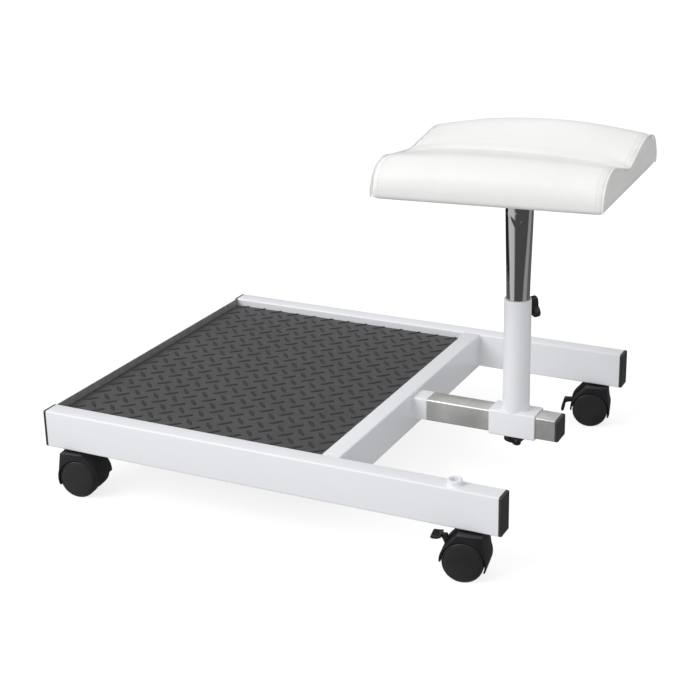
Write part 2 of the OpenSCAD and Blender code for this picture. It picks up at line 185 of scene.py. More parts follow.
def slab(name, outline, start, end):  # an outline in XZ, given thickness from start to end along Y
    return skinRings(name, [[alongY(u, v, y) for u, v in outline] for y in (start, end)])


def rectTube(name, lay, centre, size, span, wall, radius, lip=0.5 * mm):
    # a rectangular tube from span[0] to span[1], with a small round lip at each end
    def ring(inset, s):
        section = roundedSection(size[0] - 2 * inset, size[1] - 2 * inset, max(radius - inset, 0.3 * mm))
        return [lay(centre[0] + u, centre[1] + v, s) for u, v in section]

    quarter = [math.radians(30 * k) for k in range(4)]
    rings = [ring(lip * (1 - math.sin(a)), span[0] + lip * (1 - math.cos(a))) for a in quarter]
    rings += [ring(lip * (1 - math.sin(a)), span[1] - lip * (1 - math.cos(a))) for a in quarter[::-1]]
    rings += [ring(wall, span[1]), ring(wall, span[0])]
    return shadeSmooth(skinRings(name, rings, closed=True))


def weldBead(name, path, radius, ripple=1.6 * mm, sides=10):  # a rippled bead along a path of points
    rings = []
    total = 0.0
    for i, point in enumerate(path):
        ahead = (path[min(i + 1, len(path) - 1)] - path[max(i - 1, 0)]).normalized()
        if i:
            total += (point - path[i - 1]).length
        side = ahead.orthogonal().normalized()
        other = ahead.cross(side)
        fade = min(1.0, 0.35 + 3 * min(i, len(path) - 1 - i) / len(path))
        size = radius * fade * (0.9 + 0.12 * abs(math.sin(math.pi * total / ripple)))
        rings.append([point + size * (math.cos(a) * side + math.sin(a) * other)
                      for a in anglesAround(sides)])
    return shadeSmooth(skinRings(name, rings), 60)


def straightPath(start, end, step=0.4 * mm):
    count = max(2, int((end - start).length / step))
    return [start.lerp(end, k / count) for k in range(count + 1)]


def keep(piece, body, slotName, finish, *nodes):  # gives a piece its finish, body and CAD nodes
    piece.data.materials.clear()
    piece.data.materials.append(finish)
    for face in piece.data.polygons:
        face.material_index = 0
    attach(piece, body)
    if nodes:
        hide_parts(*nodes)
    return piece


# ---- node helpers

def addNode(tree, kind, **inputs):
    node = tree.nodes.new(kind)
    for name, value in inputs.items():
        node.inputs[name.replace("_", " ")].default_value = value
    return node


def join(tree, source, target):
    tree.links.new(source, target)


def newFinish(name, baseColour, roughness, **sockets):
    finish = bpy.data.materials.new(name)
    finish.use_nodes = True
    tree = finish.node_tree
    tree.nodes.clear()
    output = tree.nodes.new("ShaderNodeOutputMaterial")
    surface = tree.nodes.new("ShaderNodeBsdfPrincipled")
    join(tree, surface.outputs["BSDF"], output.inputs["Surface"])
    surface.inputs["Base Color"].default_value = (*baseColour, 1)
    surface.inputs["Roughness"].default_value = roughness
    for key, value in sockets.items():
        surface.inputs[key.replace("_", " ")].default_value = value
    return finish, tree, surface


def objectPlace(tree, stretch=(1, 1, 1)):
    place = tree.nodes.new("ShaderNodeTexCoord")
    mapping = addNode(tree, "ShaderNodeMapping", Scale=stretch)
    join(tree, place.outputs["Object"], mapping.inputs["Vector"])
    return mapping.outputs["Vector"]


def noiseField(tree, place, scale, detail=3.0, rough=0.5):
    field = addNode(tree, "ShaderNodeTexNoise", Scale=scale, Detail=detail, Roughness=rough)
    join(tree, place, field.inputs["Vector"])
    return field.outputs["Fac"]


def spread(tree, value, low, high, start=0.3, end=0.7):  # stretches a field to low..high
    stretch = addNode(tree, "ShaderNodeMapRange")
    for i, number in enumerate((start, end, low, high)):
        stretch.inputs[i + 1].default_value = number
    join(tree, value, stretch.inputs["Value"])
    return stretch.outputs["Result"]


def colourBetween(tree, value, first, second):
    ramp = tree.nodes.new("ShaderNodeValToRGB")
    ramp.color_ramp.elements[0].position = 0.3
    ramp.color_ramp.elements[1].position = 0.7
    ramp.color_ramp.elements[0].color = (*first, 1)
    ramp.color_ramp.elements[1].color = (*second, 1)
    join(tree, value, ramp.inputs["Fac"])
    return ramp.outputs["Color"]


def clouded(tree, surface, cloud, first, second, low, high):  # colour and roughness follow one field
    join(tree, colourBetween(tree, cloud, first, second), surface.inputs["Base Color"])
    join(tree, spread(tree, cloud, low, high), surface.inputs["Roughness"])


def bumpFrom(tree, height, surface, strength, distance, under=None):
    bump = addNode(tree, "ShaderNodeBump", Strength=strength, Distance=distance)
    join(tree, height, bump.inputs["Height"])
    if under is not None:
        join(tree, under, bump.inputs["Normal"])
    join(tree, bump.outputs["Normal"], surface.inputs["Normal"])
    return bump.outputs["Normal"]


# ---- finishes

paint = {"colour": (0.88, 0.895, 0.925), "shade": (0.855, 0.87, 0.90), "roughness": (0.30, 0.38),
         "peelScale": 420, "peelDepth": 0.05 * mm}


def powderCoat():
    finish, tree, surface = newFinish("whitePowderCoat", paint["colour"], 0.34)
    place = objectPlace(tree)
    cloud = noiseField(tree, place, 9, 4)
    clouded(tree, surface, cloud, paint["shade"], paint["colour"], *paint["roughness"])
    peel = noiseField(tree, place, paint["peelScale"], 2)
    bumpFrom(tree, peel, surface, 0.35, paint["peelDepth"])
    return finish


leather = {"colour": (0.93, 0.93, 0.925), "shade": (0.89, 0.885, 0.875), "pores": 1500, "grain": 620,
           "grainDepth": 0.12 * mm, "roughness": (0.40, 0.50)}


def leatherette():
    finish, tree, surface = newFinish("whiteLeatherette", leather["colour"], 0.45, Sheen_Weight=0.08)
    surface.inputs["Sheen Roughness"].default_value = 0.5
    place = objectPlace(tree)
    cloud = noiseField(tree, place, 14, 4)
    clouded(tree, surface, cloud, leather["shade"], leather["colour"], *leather["roughness"])
    cells = addNode(tree, "ShaderNodeTexVoronoi", Scale=leather["grain"])
    cells.feature = "DISTANCE_TO_EDGE"
    join(tree, place, cells.inputs["Vector"])
    creases = spread(tree, cells.outputs["Distance"], 0, 1, 0, 0.12)
    grain = bumpFrom(tree, creases, surface, 0.25, leather["grainDepth"])
    bumpFrom(tree, noiseField(tree, place, leather["pores"], 2), surface, 0.15, leather["grainDepth"], grain)
    return finish


def rubber(name, colour, shade, roughness):
    finish, tree, surface = newFinish(name, colour, roughness)
    place = objectPlace(tree)
    cloud = noiseField(tree, place, 22, 5)
    clouded(tree, surface, cloud, shade, colour, roughness - 0.05, roughness + 0.07)
    bumpFrom(tree, noiseField(tree, place, 1300, 3), surface, 0.3, 0.1 * mm)
    return finish


def mouldedPlastic(name, colour, roughness, texture=900, depth=0.06 * mm):
    finish, tree, surface = newFinish(name, colour, roughness)
    place = objectPlace(tree)
    cloud = noiseField(tree, place, 40, 3)
    lighter = tuple(c * 1.25 for c in colour)
    clouded(tree, surface, cloud, colour, lighter, roughness - 0.04, roughness + 0.05)
    bumpFrom(tree, noiseField(tree, place, texture, 2), surface, 0.3, depth)
    return finish


brush = {"steel": (0.50, 0.495, 0.48), "bright": (0.84, 0.835, 0.82), "roughness": (0.30, 0.42)}


def brushedSteel():
    finish, tree, surface = newFinish("brushedSteel", brush["steel"], 0.34, Metallic=0.72, Anisotropic=0.4)
    lines = noiseField(tree, objectPlace(tree, (12, 900, 900)), 1.0, 4)
    patches = noiseField(tree, objectPlace(tree), 17, 3)
    join(tree, colourBetween(tree, patches, brush["steel"], brush["bright"]), surface.inputs["Base Color"])
    join(tree, spread(tree, lines, *brush["roughness"]), surface.inputs["Roughness"])
    bumpFrom(tree, lines, surface, 0.25, 0.04 * mm)
    return finish


def chromePlate():
    finish, tree, surface = newFinish("chromePlate", (0.74, 0.74, 0.75), 0.07, Metallic=1.0)
    lines = noiseField(tree, objectPlace(tree, (700, 700, 9)), 1.0, 3)
    join(tree, spread(tree, lines, 0.05, 0.13), surface.inputs["Roughness"])
    waves = noiseField(tree, objectPlace(tree, (60, 60, 14)), 1.0, 2)
    bumpFrom(tree, waves, surface, 0.12, 0.25 * mm)
    return finish


def zincPlate(name, colour, roughness, metallic):
    finish, tree, surface = newFinish(name, colour, roughness, Metallic=metallic)
    place = objectPlace(tree)
    spangle = addNode(tree, "ShaderNodeTexVoronoi", Scale=120.0)
    join(tree, place, spangle.inputs["Vector"])
    darker = tuple(c * 0.82 for c in colour)
    patches = colourBetween(tree, spangle.outputs["Distance"], darker, colour)
    join(tree, patches, surface.inputs["Base Color"])
    fine = noiseField(tree, place, 500, 3)
    join(tree, spread(tree, fine, roughness - 0.06, roughness + 0.08), surface.inputs["Roughness"])
    bumpFrom(tree, fine, surface, 0.2, 0.03 * mm)
    return finish


def plywoodGrain():
    finish, tree, surface = newFinish("plywoodGrain", (0.55, 0.38, 0.22), 0.7)
    plies = noiseField(tree, objectPlace(tree, (8, 8, 900)), 1.0, 2)
    layers = colourBetween(tree, plies, (0.42, 0.27, 0.14), (0.62, 0.44, 0.26))
    join(tree, layers, surface.inputs["Base Color"])
    bumpFrom(tree, noiseField(tree, objectPlace(tree, (30, 400, 400)), 1.0, 3), surface, 0.3, 0.1 * mm)
    return finish


def dustCloth():
    finish, tree, surface = newFinish("dustCloth", (0.03, 0.03, 0.032), 0.9, Sheen_Weight=0.3)
    fibres = noiseField(tree, objectPlace(tree, (900, 260, 400)), 1.0, 5, 0.7)
    threads = colourBetween(tree, fibres, (0.018, 0.018, 0.02), (0.045, 0.045, 0.048))
    join(tree, threads, surface.inputs["Base Color"])
    bumpFrom(tree, fibres, surface, 0.5, 0.15 * mm)
    return finish


white = powderCoat()
leatherWhite = leatherette()
matRubber = rubber("matRubber", (0.070, 0.070, 0.073), (0.055, 0.055, 0.058), 0.66)
# the treads get a darker copy of the mat's rubber: painted shade for the shaded sides of the raised bars
treadRubberPaintedShade = rubber("treadRubberPaintedShade", (0.021, 0.021, 0.022), (0.015, 0.015, 0.016), 0.5)
capPlastic = mouldedPlastic("capPlastic", (0.030, 0.031, 0.033), 0.42)
knobPlastic = mouldedPlastic("knobPlastic", (0.010, 0.010, 0.011), 0.35)
casterPlastic = mouldedPlastic("casterPlastic", (0.011, 0.011, 0.013), 0.40)
wheelPlastic = mouldedPlastic("wheelPlastic", (0.017, 0.017, 0.017), 0.44, 700)
nylon = mouldedPlastic("nylonWhite", (0.62, 0.60, 0.52), 0.4)
threadWhite = mouldedPlastic("threadWhite", (0.74, 0.74, 0.73), 0.7, 2400)
barSteel = brushedSteel()
chrome = chromePlate()
zinc = zincPlate("zincSteel", (0.55, 0.56, 0.58), 0.38, 1.0)
traySteel = zincPlate("traySteel", (0.30, 0.30, 0.305), 0.55, 0.4)
plywood = plywoodGrain()
backing = dustCloth()
print("finishes made")


# ---- Geometry Nodes: pieces that repeat

def repeatTree(name, inputs, build):
    tree = bpy.data.node_groups.new(name, "GeometryNodeTree")
    for label, kind in inputs.items():
        tree.interface.new_socket(name=label, in_out="INPUT", socket_type="NodeSocket" + kind)
    tree.interface.new_socket(name="Geometry", in_out="OUTPUT", socket_type="NodeSocketGeometry")
    given = tree.nodes.new("NodeGroupInput").outputs
    points, turn = build(tree, given)
    model = tree.nodes.new("GeometryNodeObjectInfo")
    spot = tree.nodes.new("GeometryNodeInstanceOnPoints")
    solid = tree.nodes.new("GeometryNodeRealizeInstances")
    coat = tree.nodes.new("GeometryNodeSetMaterial")
    join(tree, given["Piece"], model.inputs["Object"])
    join(tree, points, spot.inputs["Points"])
    join(tree, model.outputs["Geometry"], spot.inputs["Instance"])
    join(tree, turn, spot.inputs["Rotation"])
    join(tree, spot.outputs["Instances"], solid.inputs["Geometry"])
    join(tree, solid.outputs["Geometry"], coat.inputs["Geometry"])
    join(tree, given["Finish"], coat.inputs["Material"])
    join(tree, coat.outputs["Geometry"], tree.nodes.new("NodeGroupOutput").inputs["Geometry"])
    return tree


def gridPoints(tree, given):
    grid = tree.nodes.new("GeometryNodeMeshGrid")
    moved = tree.nodes.new("GeometryNodeTransform")
    for source, target in (("Length", "Size X"), ("Width", "Size Y"), ("Columns", "Vertices X"),
                           ("Rows", "Vertices Y")):
        join(tree, given[source], grid.inputs[target])
    join(tree, grid.outputs["Mesh"], moved.inputs["Geometry"])
    join(tree, given["Centre"], moved.inputs["Translation"])
    return moved.outputs["Geometry"], given["Piece turn"]


def pathPoints(tree, given):
    path = tree.nodes.new("GeometryNodeObjectInfo")
    evenly = tree.nodes.new("GeometryNodeResampleCurve")
    evenly.mode = "LENGTH"
    points = tree.nodes.new("GeometryNodeCurveToPoints")
    points.mode = "EVALUATED"
    join(tree, given["Path"], path.inputs["Object"])
    join(tree, path.outputs["Geometry"], evenly.inputs["Curve"])
    join(tree, given["Spacing"], evenly.inputs["Length"])
    join(tree, evenly.outputs["Curve"], points.inputs["Curve"])
    return points.outputs["Points"], points.outputs["Rotation"]


gridTree = repeatTree("repeatOnGrid", {"Piece": "Object", "Length": "Float", "Width": "Float",
                      "Columns": "Int", "Rows": "Int", "Centre": "Vector", "Piece turn": "Rotation",
                      "Finish": "Material"}, gridPoints)
pathTree = repeatTree("repeatAlongPath", {"Piece": "Object", "Path": "Object", "Spacing": "Float",
                      "Finish": "Material"}, pathPoints)


def grow(name, tree, values):  # runs a tree on an empty piece, with inputs set by identifier
    piece = newPiece(name, [], [])
    maker = piece.modifiers.new("repeat", "NODES")
    maker.node_group = tree
    for item in tree.interface.items_tree:
        if item.in_out == "INPUT":
            maker[item.identifier] = values[item.name]
    settle(piece)
    return shadeSmooth(piece)


def gridOf(name, model, finish, length, width, columns, rows, centre, turn=0.0):
    return grow(name, gridTree, {"Piece": model, "Length": length, "Width": width, "Columns": columns,
                "Rows": rows, "Centre": centre, "Piece turn": (0.0, 0.0, turn), "Finish": finish})


def pathOf(name, model, finish, points, spacing, closed=False):
    line = bpy.data.curves.new(name + "Path", "CURVE")
    line.dimensions = "3D"
    spline = line.splines.new("POLY")
    spline.points.add(len(points) - 1)
    for spot, point in zip(spline.points, points):
        spot.co = (*point, 1)
    spline.use_cyclic_u = closed
    path = addObject(name + "Path", line)
    piece = grow(name, pathTree, {"Piece": model, "Path": path, "Spacing": spacing, "Finish": finish})
    bpy.data.objects.remove(path)
    return piece


# ---- camera, light and floor

view = {"place": (0.79505, -1.6401, 0.8627), "tilt": 71.13, "turn": 23.14, "roll": 0.0, "lens": 74.84,
        "shift": (-0.126, -0.082)}
sunKey = {"turn": (50, 8, -45), "strength": 1.45, "softness": 40}
studio = {"above": 0.67, "below": 0.57, "bandStart": 0.10, "bandEnd": 0.70}
floorSet = {"size": 14.0, "colour": (0.30, 0.30, 0.30), "shade": (0.29, 0.29, 0.29), "glow": 0.80,
            "steps": 24}


def makeCamera():
    lens = bpy.data.cameras.new("view")
    lens.lens = view["lens"]
    lens.shift_x, lens.shift_y = view["shift"]
    lens.clip_end = 60
    camera = addObject("view", lens)
    camera.location = view["place"]
    camera.rotation_euler = [math.radians(a) for a in (view["tilt"], view["roll"], view["turn"])]
    bpy.context.scene.camera = camera


def makeKeyLight():
    key = bpy.data.lights.new("key", "SUN")
    key.energy = sunKey["strength"]
    key.angle = math.radians(sunKey["softness"])
    addObject("key", key).rotation_euler = [math.radians(a) for a in sunKey["turn"]]


def mixColours(tree, factor):
    mix = tree.nodes.new("ShaderNodeMix")
    mix.data_type = "RGBA"
    join(tree, factor, mix.inputs["Factor"])
    return mix


def makeStudio():  # a soft room for diffuse light, and a banded one for what gloss reflects
    world = bpy.data.worlds.new("studio")
    bpy.context.scene.world = world
    world.use_nodes = True
    tree = world.node_tree
    tree.nodes.clear()
    direction = tree.nodes.new("ShaderNodeTexCoord").outputs["Generated"]
    parts = tree.nodes.new("ShaderNodeSeparateXYZ")
    join(tree, direction, parts.inputs["Vector"])
    soft = spread(tree, parts.outputs["Z"], studio["below"], studio["above"], -0.4, 0.4)
    around = tree.nodes.new("ShaderNodeMath")
    around.operation = "ARCTAN2"
    join(tree, parts.outputs["Y"], around.inputs[0])
    join(tree, parts.outputs["X"], around.inputs[1])
    turn = spread(tree, around.outputs["Value"], 0, 1, -math.pi, math.pi)
    bands = tree.nodes.new("ShaderNodeValToRGB")
    stops = bands.color_ramp.elements
    # degrees from +X, and the brightness that starts there
    panels = ((-180, 0.02), (-157, 0.02), (-151, 0.62), (-112, 0.55), (-105, 0.075), (-30, 0.075),
              (-16, 0.34), (14, 0.30), (26, 0.13), (100, 0.12), (112, 0.02), (180, 0.02))
    stops.remove(stops[1])
    for k, (angle, level) in enumerate(panels):
        stop = stops[0] if k == 0 else stops.new((angle + 180) / 360)
        stop.position = (angle + 180) / 360
        stop.color = (level, level, level, 1)
    join(tree, turn, bands.inputs["Fac"])
    ceiling = spread(tree, parts.outputs["Z"], 0, 1, studio["bandStart"], studio["bandEnd"])
    gloss = mixColours(tree, ceiling)
    join(tree, bands.outputs["Color"], gloss.inputs[6])
    gloss.inputs[7].default_value = (0.95, 0.95, 0.95, 1)
    rays = tree.nodes.new("ShaderNodeLightPath")
    room = mixColours(tree, rays.outputs["Is Glossy Ray"])
    join(tree, soft, room.inputs[6])
    join(tree, gloss.outputs[2], room.inputs[7])
    light = tree.nodes.new("ShaderNodeBackground")
    join(tree, room.outputs[2], light.inputs["Color"])
    join(tree, light.outputs["Background"], tree.nodes.new("ShaderNodeOutputWorld").inputs["Surface"])


def makeFloor():
    half = floorSet["size"] / 2
    rim = [(half * math.cos(a), half * math.sin(a), 0) for a in anglesAround(floorSet["steps"])]
    floor = newPiece("studioFloor", rim, [tuple(range(len(rim)))])
    finish, tree, surface = newFinish("studioFloor", floorSet["colour"], 0.9)
    surface.inputs["Emission Strength"].default_value = floorSet["glow"]
    surface.inputs["Emission Color"].default_value = (1, 1, 1, 1)
    haze = noiseField(tree, objectPlace(tree), 2, 2)
    cloud = colourBetween(tree, haze, floorSet["shade"], floorSet["colour"])
    join(tree, cloud, surface.inputs["Base Color"])
    floor.data.materials.append(finish)
    floor.visible_diffuse = False
    floor.visible_glossy = False


bpy.context.scene.view_settings.view_transform = "Standard"
makeCamera()
makeKeyLight()
makeStudio()
makeFloor()
print("camera, light and floor made")


# ---- frame: rails, crossbars, tray, mat, caps

tubes = {"wall": 1.5 * mm, "radius": 2.4 * mm, "lip": 0.5 * mm}


def makeRail(side):
    node = "rail_" + side
    low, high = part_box(node)
    centre = middle(node)
    size = (high.y - low.y, high.z - low.z)
    rail = rectTube("rail" + side.capitalize(), alongX, (centre.y, centre.z), size, (low.x, high.x),
                    tubes["wall"], tubes["radius"], tubes["lip"])
    return keep(rail, "frame", "white_powder_coat", white, node)


def makeCrossTube(name, node, radius):
    low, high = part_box(node)
    centre = middle(node)
    tube = rectTube(name, alongY, (centre.x, centre.z), (high.x - low.x, high.z - low.z),
                    (low.y, high.y), tubes["wall"], radius, 0.2 * mm)
    return keep(tube, "frame", "white_powder_coat", white, node)


def makeFrameWelds():  # ground beads in the corners between the crossbars and the rails
    beads = []
    for node, reach in (("crossbar", 1.5 * mm), ("end_crossbar", 1.3 * mm)):
        low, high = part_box(node)
        for x in (low.x, high.x):
            for y in (low.y, high.y):
                path = straightPath(Vector((x, y, low.z + 2 * mm)), Vector((x, y, high.z - 1.5 * mm)))
                beads.append(weldBead("bead", path, reach))
    beads = joinPieces("frameWelds", beads)
    return keep(beads, "frame", "white_powder_coat", white)


traySet = {"sheet": 1.5 * mm, "bend": 2.5 * mm}


def makeTray():  # the floor sheet, bent up at the end to the height of the rails
    low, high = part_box("tray")
    sheet = traySet["sheet"]
    bend = traySet["bend"]
    outline = [(high.x, low.z), (high.x, low.z + sheet)]
    outline += arc((low.x + bend, low.z + bend), bend - sheet, 270, 180, 6)
    outline += [(low.x + sheet, high.z), (low.x, high.z)]
    outline += arc((low.x + bend, low.z + bend), bend, 180, 270, 6)
    tray = slab("traySheet", outline, low.y, high.y)
    roundEdges(tray, 0.35 * mm, 2)
    return keep(shadeSmooth(tray), "frame", "grey_sheet_steel", traySteel, "tray")


matSet = {"corner": 8 * mm, "edge": 0.8 * mm, "pitchX": 29.4 * mm, "pitchY": 28.4 * mm,
          "treadLength": 20.5 * mm, "treadWidth": 5.0 * mm, "treadHeight": 1.25 * mm, "sink": 0.4 * mm,
          "firstX": 43 * mm, "firstY": 22 * mm}


def makeMat():
    low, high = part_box("tread_mat")
    centre = middle("tread_mat")
    length, width = high.x - low.x, high.y - low.y
    edge = matSet["edge"]
    rings = []
    for inset, z in ((0.6 * mm, low.z), (0, low.z + 0.6 * mm), (0, high.z - edge),
                     (0.3 * edge, high.z - 0.3 * edge), (edge, high.z)):
        outline = roundedSection(length - 2 * inset, width - 2 * inset, matSet["corner"] - inset, 8)
        rings.append([Vector((centre.x + u, centre.y + v, z)) for u, v in outline])
    mat = shadeSmooth(skinRings("treadMat", rings), 50)
    return keep(mat, "frame", "tread_rubber", matRubber, "tread_mat")


def treadModel():  # one raised bar: a pointed oval with a rounded crest
    rings = []
    levels = ((1.0, 1.0, -matSet["sink"]), (0.98, 0.92, 0.35 * matSet["treadHeight"]),
              (0.93, 0.62, 0.85 * matSet["treadHeight"]), (0.84, 0.25, matSet["treadHeight"]))
    for stretch, narrow, z in levels:
        ring = []
        for a in anglesAround(12):
            lean = math.copysign(abs(math.sin(a)) ** 1.2, math.sin(a))
            ring.append(Vector((matSet["treadLength"] / 2 * stretch * math.cos(a),
                                matSet["treadWidth"] / 2 * narrow * lean, z)))
        rings.append(ring)
    return skinRings("treadModel", rings)


def trimBeyond(piece, low, high):  # cuts away what lies past the mat's edges
    shell = bmesh.new()
    shell.from_mesh(piece.data)
    for corner, normal in ((low, (-1, 0, 0)), (low, (0, -1, 0)), (high, (1, 0, 0)), (high, (0, 1, 0))):
        geometry = shell.verts[:] + shell.edges[:] + shell.faces[:]
        cut = bmesh.ops.bisect_plane(shell, geom=geometry, plane_co=corner, plane_no=normal,
                                     clear_outer=True)
        edges = [e for e in cut["geom_cut"] if isinstance(e, bmesh.types.BMEdge)]
        bmesh.ops.holes_fill(shell, edges=edges, sides=0)
    bmesh.ops.recalc_face_normals(shell, faces=shell.faces)
    shell.to_mesh(piece.data)
    shell.free()
    return piece


def makeTreads():
    low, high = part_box("tread_mat")
    pitchX, pitchY = matSet["pitchX"], matSet["pitchY"]
    columns = int((high.x - low.x) / pitchX) + 3
    rows = int((high.y - low.y) / pitchY) + 3
    model = treadModel()
    sets = []
    for turn, step in ((45, 0.0), (-45, 0.5)):
        centre = Vector((low.x + matSet["firstX"] + (step - 1) * pitchX + (columns - 1) * pitchX / 2,
                         low.y + matSet["firstY"] + (step - 1) * pitchY + (rows - 1) * pitchY / 2, high.z))
        # the darker rubber given to the treads here is painted shade
        sets.append(gridOf("treads", model, treadRubberPaintedShade, (columns - 1) * pitchX, (rows - 1) * pitchY,
                           columns, rows, centre, math.radians(turn)))
    bpy.data.objects.remove(model)
    treads = joinPieces("matTreads", sets)
    margin = Vector((0.8 * mm, 0.8 * mm, 0))
    trimBeyond(treads, low + margin, high - margin)
    shadeSmooth(treads, 70)
    return keep(treads, "frame", "tread_rubber", treadRubberPaintedShade)


capSet = {"plug": 14 * mm, "play": 1.65 * mm, "rim": 1.5 * mm, "inset": 2.6 * mm, "dish": 0.5 * mm}


def makeCap(name, node, size, start, outward, radius):  # a plug with a bevelled rim and a dished face
    centre = middle(node)
    low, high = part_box(node)
    head = (high.x - start) if outward > 0 else (start - low.x)
    rim = capSet["rim"]
    profile = [(capSet["play"] + 1 * mm, -capSet["plug"]), (capSet["play"], -capSet["plug"] + 2 * mm),
               (capSet["play"], 0), (0.15 * mm, 0), (0, 0.3 * mm)]
    profile += [(rim * (1 - math.sin(math.radians(a))), head - rim * (1 - math.cos(math.radians(a))))
                for a in (90, 68, 45, 22, 0)]
    profile += [(capSet["inset"], head), (capSet["inset"] + 0.4 * mm, head - capSet["dish"])]
    rings = []
    for inset, s in profile:
        outline = roundedSection(size[0] - 2 * inset, size[1] - 2 * inset, max(radius - inset, 0.6 * mm))
        rings.append([Vector((start + outward * s, centre.y + u, centre.z + v)) for u, v in outline])
    cap = shadeSmooth(skinRings(name, rings), 40)
    return keep(cap, "frame", "cap_plastic", capPlastic, node)


socketSet = {"bore": 6.2 * mm, "rim": 0.9 * mm, "foot": 2.2 * mm}


def makeLampSocket():
    low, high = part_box("lamp_socket")
    centre = middle("lamp_socket")
    outer = outerRadius("lamp_socket")
    rim = socketSet["rim"]
    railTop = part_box("rail_front")[1].z
    foot = socketSet["foot"]
    profile = [(socketSet["bore"], low.z), (outer, low.z), (outer, railTop - 0.3 * mm)]
    profile += [(outer + foot, railTop - 0.2 * mm), (outer + 0.35 * foot, railTop + 0.4 * foot)]
    profile += [(outer, railTop + foot)]
    profile += arc((outer - rim, high.z - rim), rim, 0, 90, 4)
    profile += [(socketSet["bore"] + 0.5 * mm, high.z), (socketSet["bore"], high.z - 0.5 * mm)]
    place = shift(centre.x, centre.y, 0)
    socket = turned("lampSocket", profile, place, closed=True)
    return keep(socket, "frame", "white_powder_coat", white, "lamp_socket")


barSet = {"wall": 2 * mm, "radius": 2.4 * mm, "paintLength": 20 * mm, "paint": 0.12 * mm, "bead": 1.6 * mm}


def makeSlideBar():
    low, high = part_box("slide_bar")
    centre = middle("slide_bar")
    size = high.z - low.z
    bar = rectTube("slideBar", alongX, (centre.y, centre.z), (size, size), (low.x, high.x), barSet["wall"],
                   barSet["radius"], 0.4 * mm)
    keep(bar, "frame", "brushed_steel", barSteel, "slide_bar")
    over = size + 2 * barSet["paint"]
    root = rectTube("barRootPaint", alongX, (centre.y, centre.z), (over, over),
                    (low.x, low.x + barSet["paintLength"]), barSet["paint"] + 0.1 * mm,
                    barSet["radius"] + barSet["paint"], 0.1 * mm)
    keep(root, "frame", "white_powder_coat", white)
    outline = roundedSection(size, size, barSet["radius"])
    outline.append(outline[0])
    path = []
    for (ua, va), (ub, vb) in zip(outline, outline[1:]):
        start = Vector((low.x, centre.y + ua, centre.z + va))
        end = Vector((low.x, centre.y + ub, centre.z + vb))
        path += straightPath(start, end, 0.5 * mm)[:-1]
    bead = weldBead("barWeld", path + [path[0]], barSet["bead"])
    keep(bead, "frame", "white_powder_coat", white)


makeRail("front")
makeRail("rear")
makeCrossTube("crossbarTube", "crossbar", tubes["radius"])
makeCrossTube("endCrossbarTube", "end_crossbar", tubes["radius"])
makeFrameWelds()
makeTray()
makeMat()
makeTreads()
railLow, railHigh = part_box("rail_front")
railSize = (railHigh.y - railLow.y, railHigh.z - railLow.z)
for corner in corners:
    end = corner.split("_")[1]
    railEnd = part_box("rail_front")[0 if end == "left" else 1].x
    capSide = -1 if end == "left" else 1
    makeCap("cap_" + corner + "_plug", "cap_" + corner, railSize, railEnd, capSide, tubes["radius"])
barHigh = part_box("slide_bar")[1]
barWidth = barHigh.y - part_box("slide_bar")[0].y
makeCap("slideBarCap", "slide_bar_cap", (barWidth, barWidth), barHigh.x, 1, barSet["radius"])
makeLampSocket()
makeSlideBar()
print("frame pieces made")


# ---- carriage: sleeve, column and their weld

sleeveSet = {"bore": 30.4 * mm, "radius": 3.0 * mm, "lip": 0.8 * mm}
columnSet = {"wall": 2 * mm, "rim": 0.7 * mm, "foot": 4.2 * mm, "footSteps": 120, "ripples": 30}
postAxis = middle("column")


def makeSleeve():
    low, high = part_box("sleeve")
    centre = middle("sleeve")
    size = high.z - low.z
    wall = (size - sleeveSet["bore"]) / 2
    sleeve = rectTube("slideSleeve", alongX, (centre.y, centre.z), (size, size), (low.x, high.x), wall,
                      sleeveSet["radius"], sleeveSet["lip"])
    return keep(sleeve, "carriage", "white_powder_coat", white, "sleeve")


def makeColumn():
    low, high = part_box("column")
    outer = outerRadius("column")
    inner = outer - columnSet["wall"]
    rim = columnSet["rim"]
    profile = [(inner, low.z), (outer, low.z)]
    profile += arc((outer - rim, high.z - rim), rim, 0, 90, 4)
    profile += [(inner + 0.4 * mm, high.z), (inner, high.z - 0.4 * mm)]
    place = shift(postAxis.x, postAxis.y, 0)
    column = turned("columnTube", profile, place, 96, closed=True)
    return keep(column, "carriage", "white_powder_coat", white, "column")


def makeColumnFoot():  # the filled and rippled weld, which has no room beside the sleeve's flanks
    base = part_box("column")[0].z
    outer = outerRadius("column")
    halfSleeve = (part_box("sleeve")[1].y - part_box("sleeve")[0].y) / 2 - 0.6 * mm
    rings = []
    for k in range(7):
        t = math.radians(15 * k)
        ring = []
        for a in anglesAround(columnSet["footSteps"]):
            room = halfSleeve / max(abs(math.sin(a)), 1e-3) - outer
            reach = max(0.25 * mm, min(columnSet["foot"], room))
            reach *= 0.93 + 0.07 * abs(math.sin(a * columnSet["ripples"]))
            rise = columnSet["foot"] * (0.45 + 0.55 * reach / columnSet["foot"])
            radius = outer - 0.3 * mm + (reach + 0.3 * mm) * (1 - math.sin(t))
            height = base - 0.4 * mm + (rise + 0.4 * mm) * (1 - math.cos(t))
            ring.append(Vector((postAxis.x + radius * math.cos(a), radius * math.sin(a), height)))
        rings.append(ring)
    inner = [Vector((p.x, p.y, rings[0][0].z)) for p in rings[-1]]
    foot = shadeSmooth(skinRings("columnFootWeld", rings + [inner], closed=True), 60)
    return keep(foot, "carriage", "white_powder_coat", white, "column_weld")


makeSleeve()
makeColumn()
makeColumnFoot()
print("carriage made")


# ---- clamp knobs

knobSet = {"mean": 10.5 * mm, "lobe": 5 * mm, "depth": 10 * mm, "hub": 0.8 * mm, "steps": 90,
           "heightDirection": 60, "heightTurn": 70, "slideTurn": -3, "heightGap": 2 * mm, "slideGap": 3 * mm}


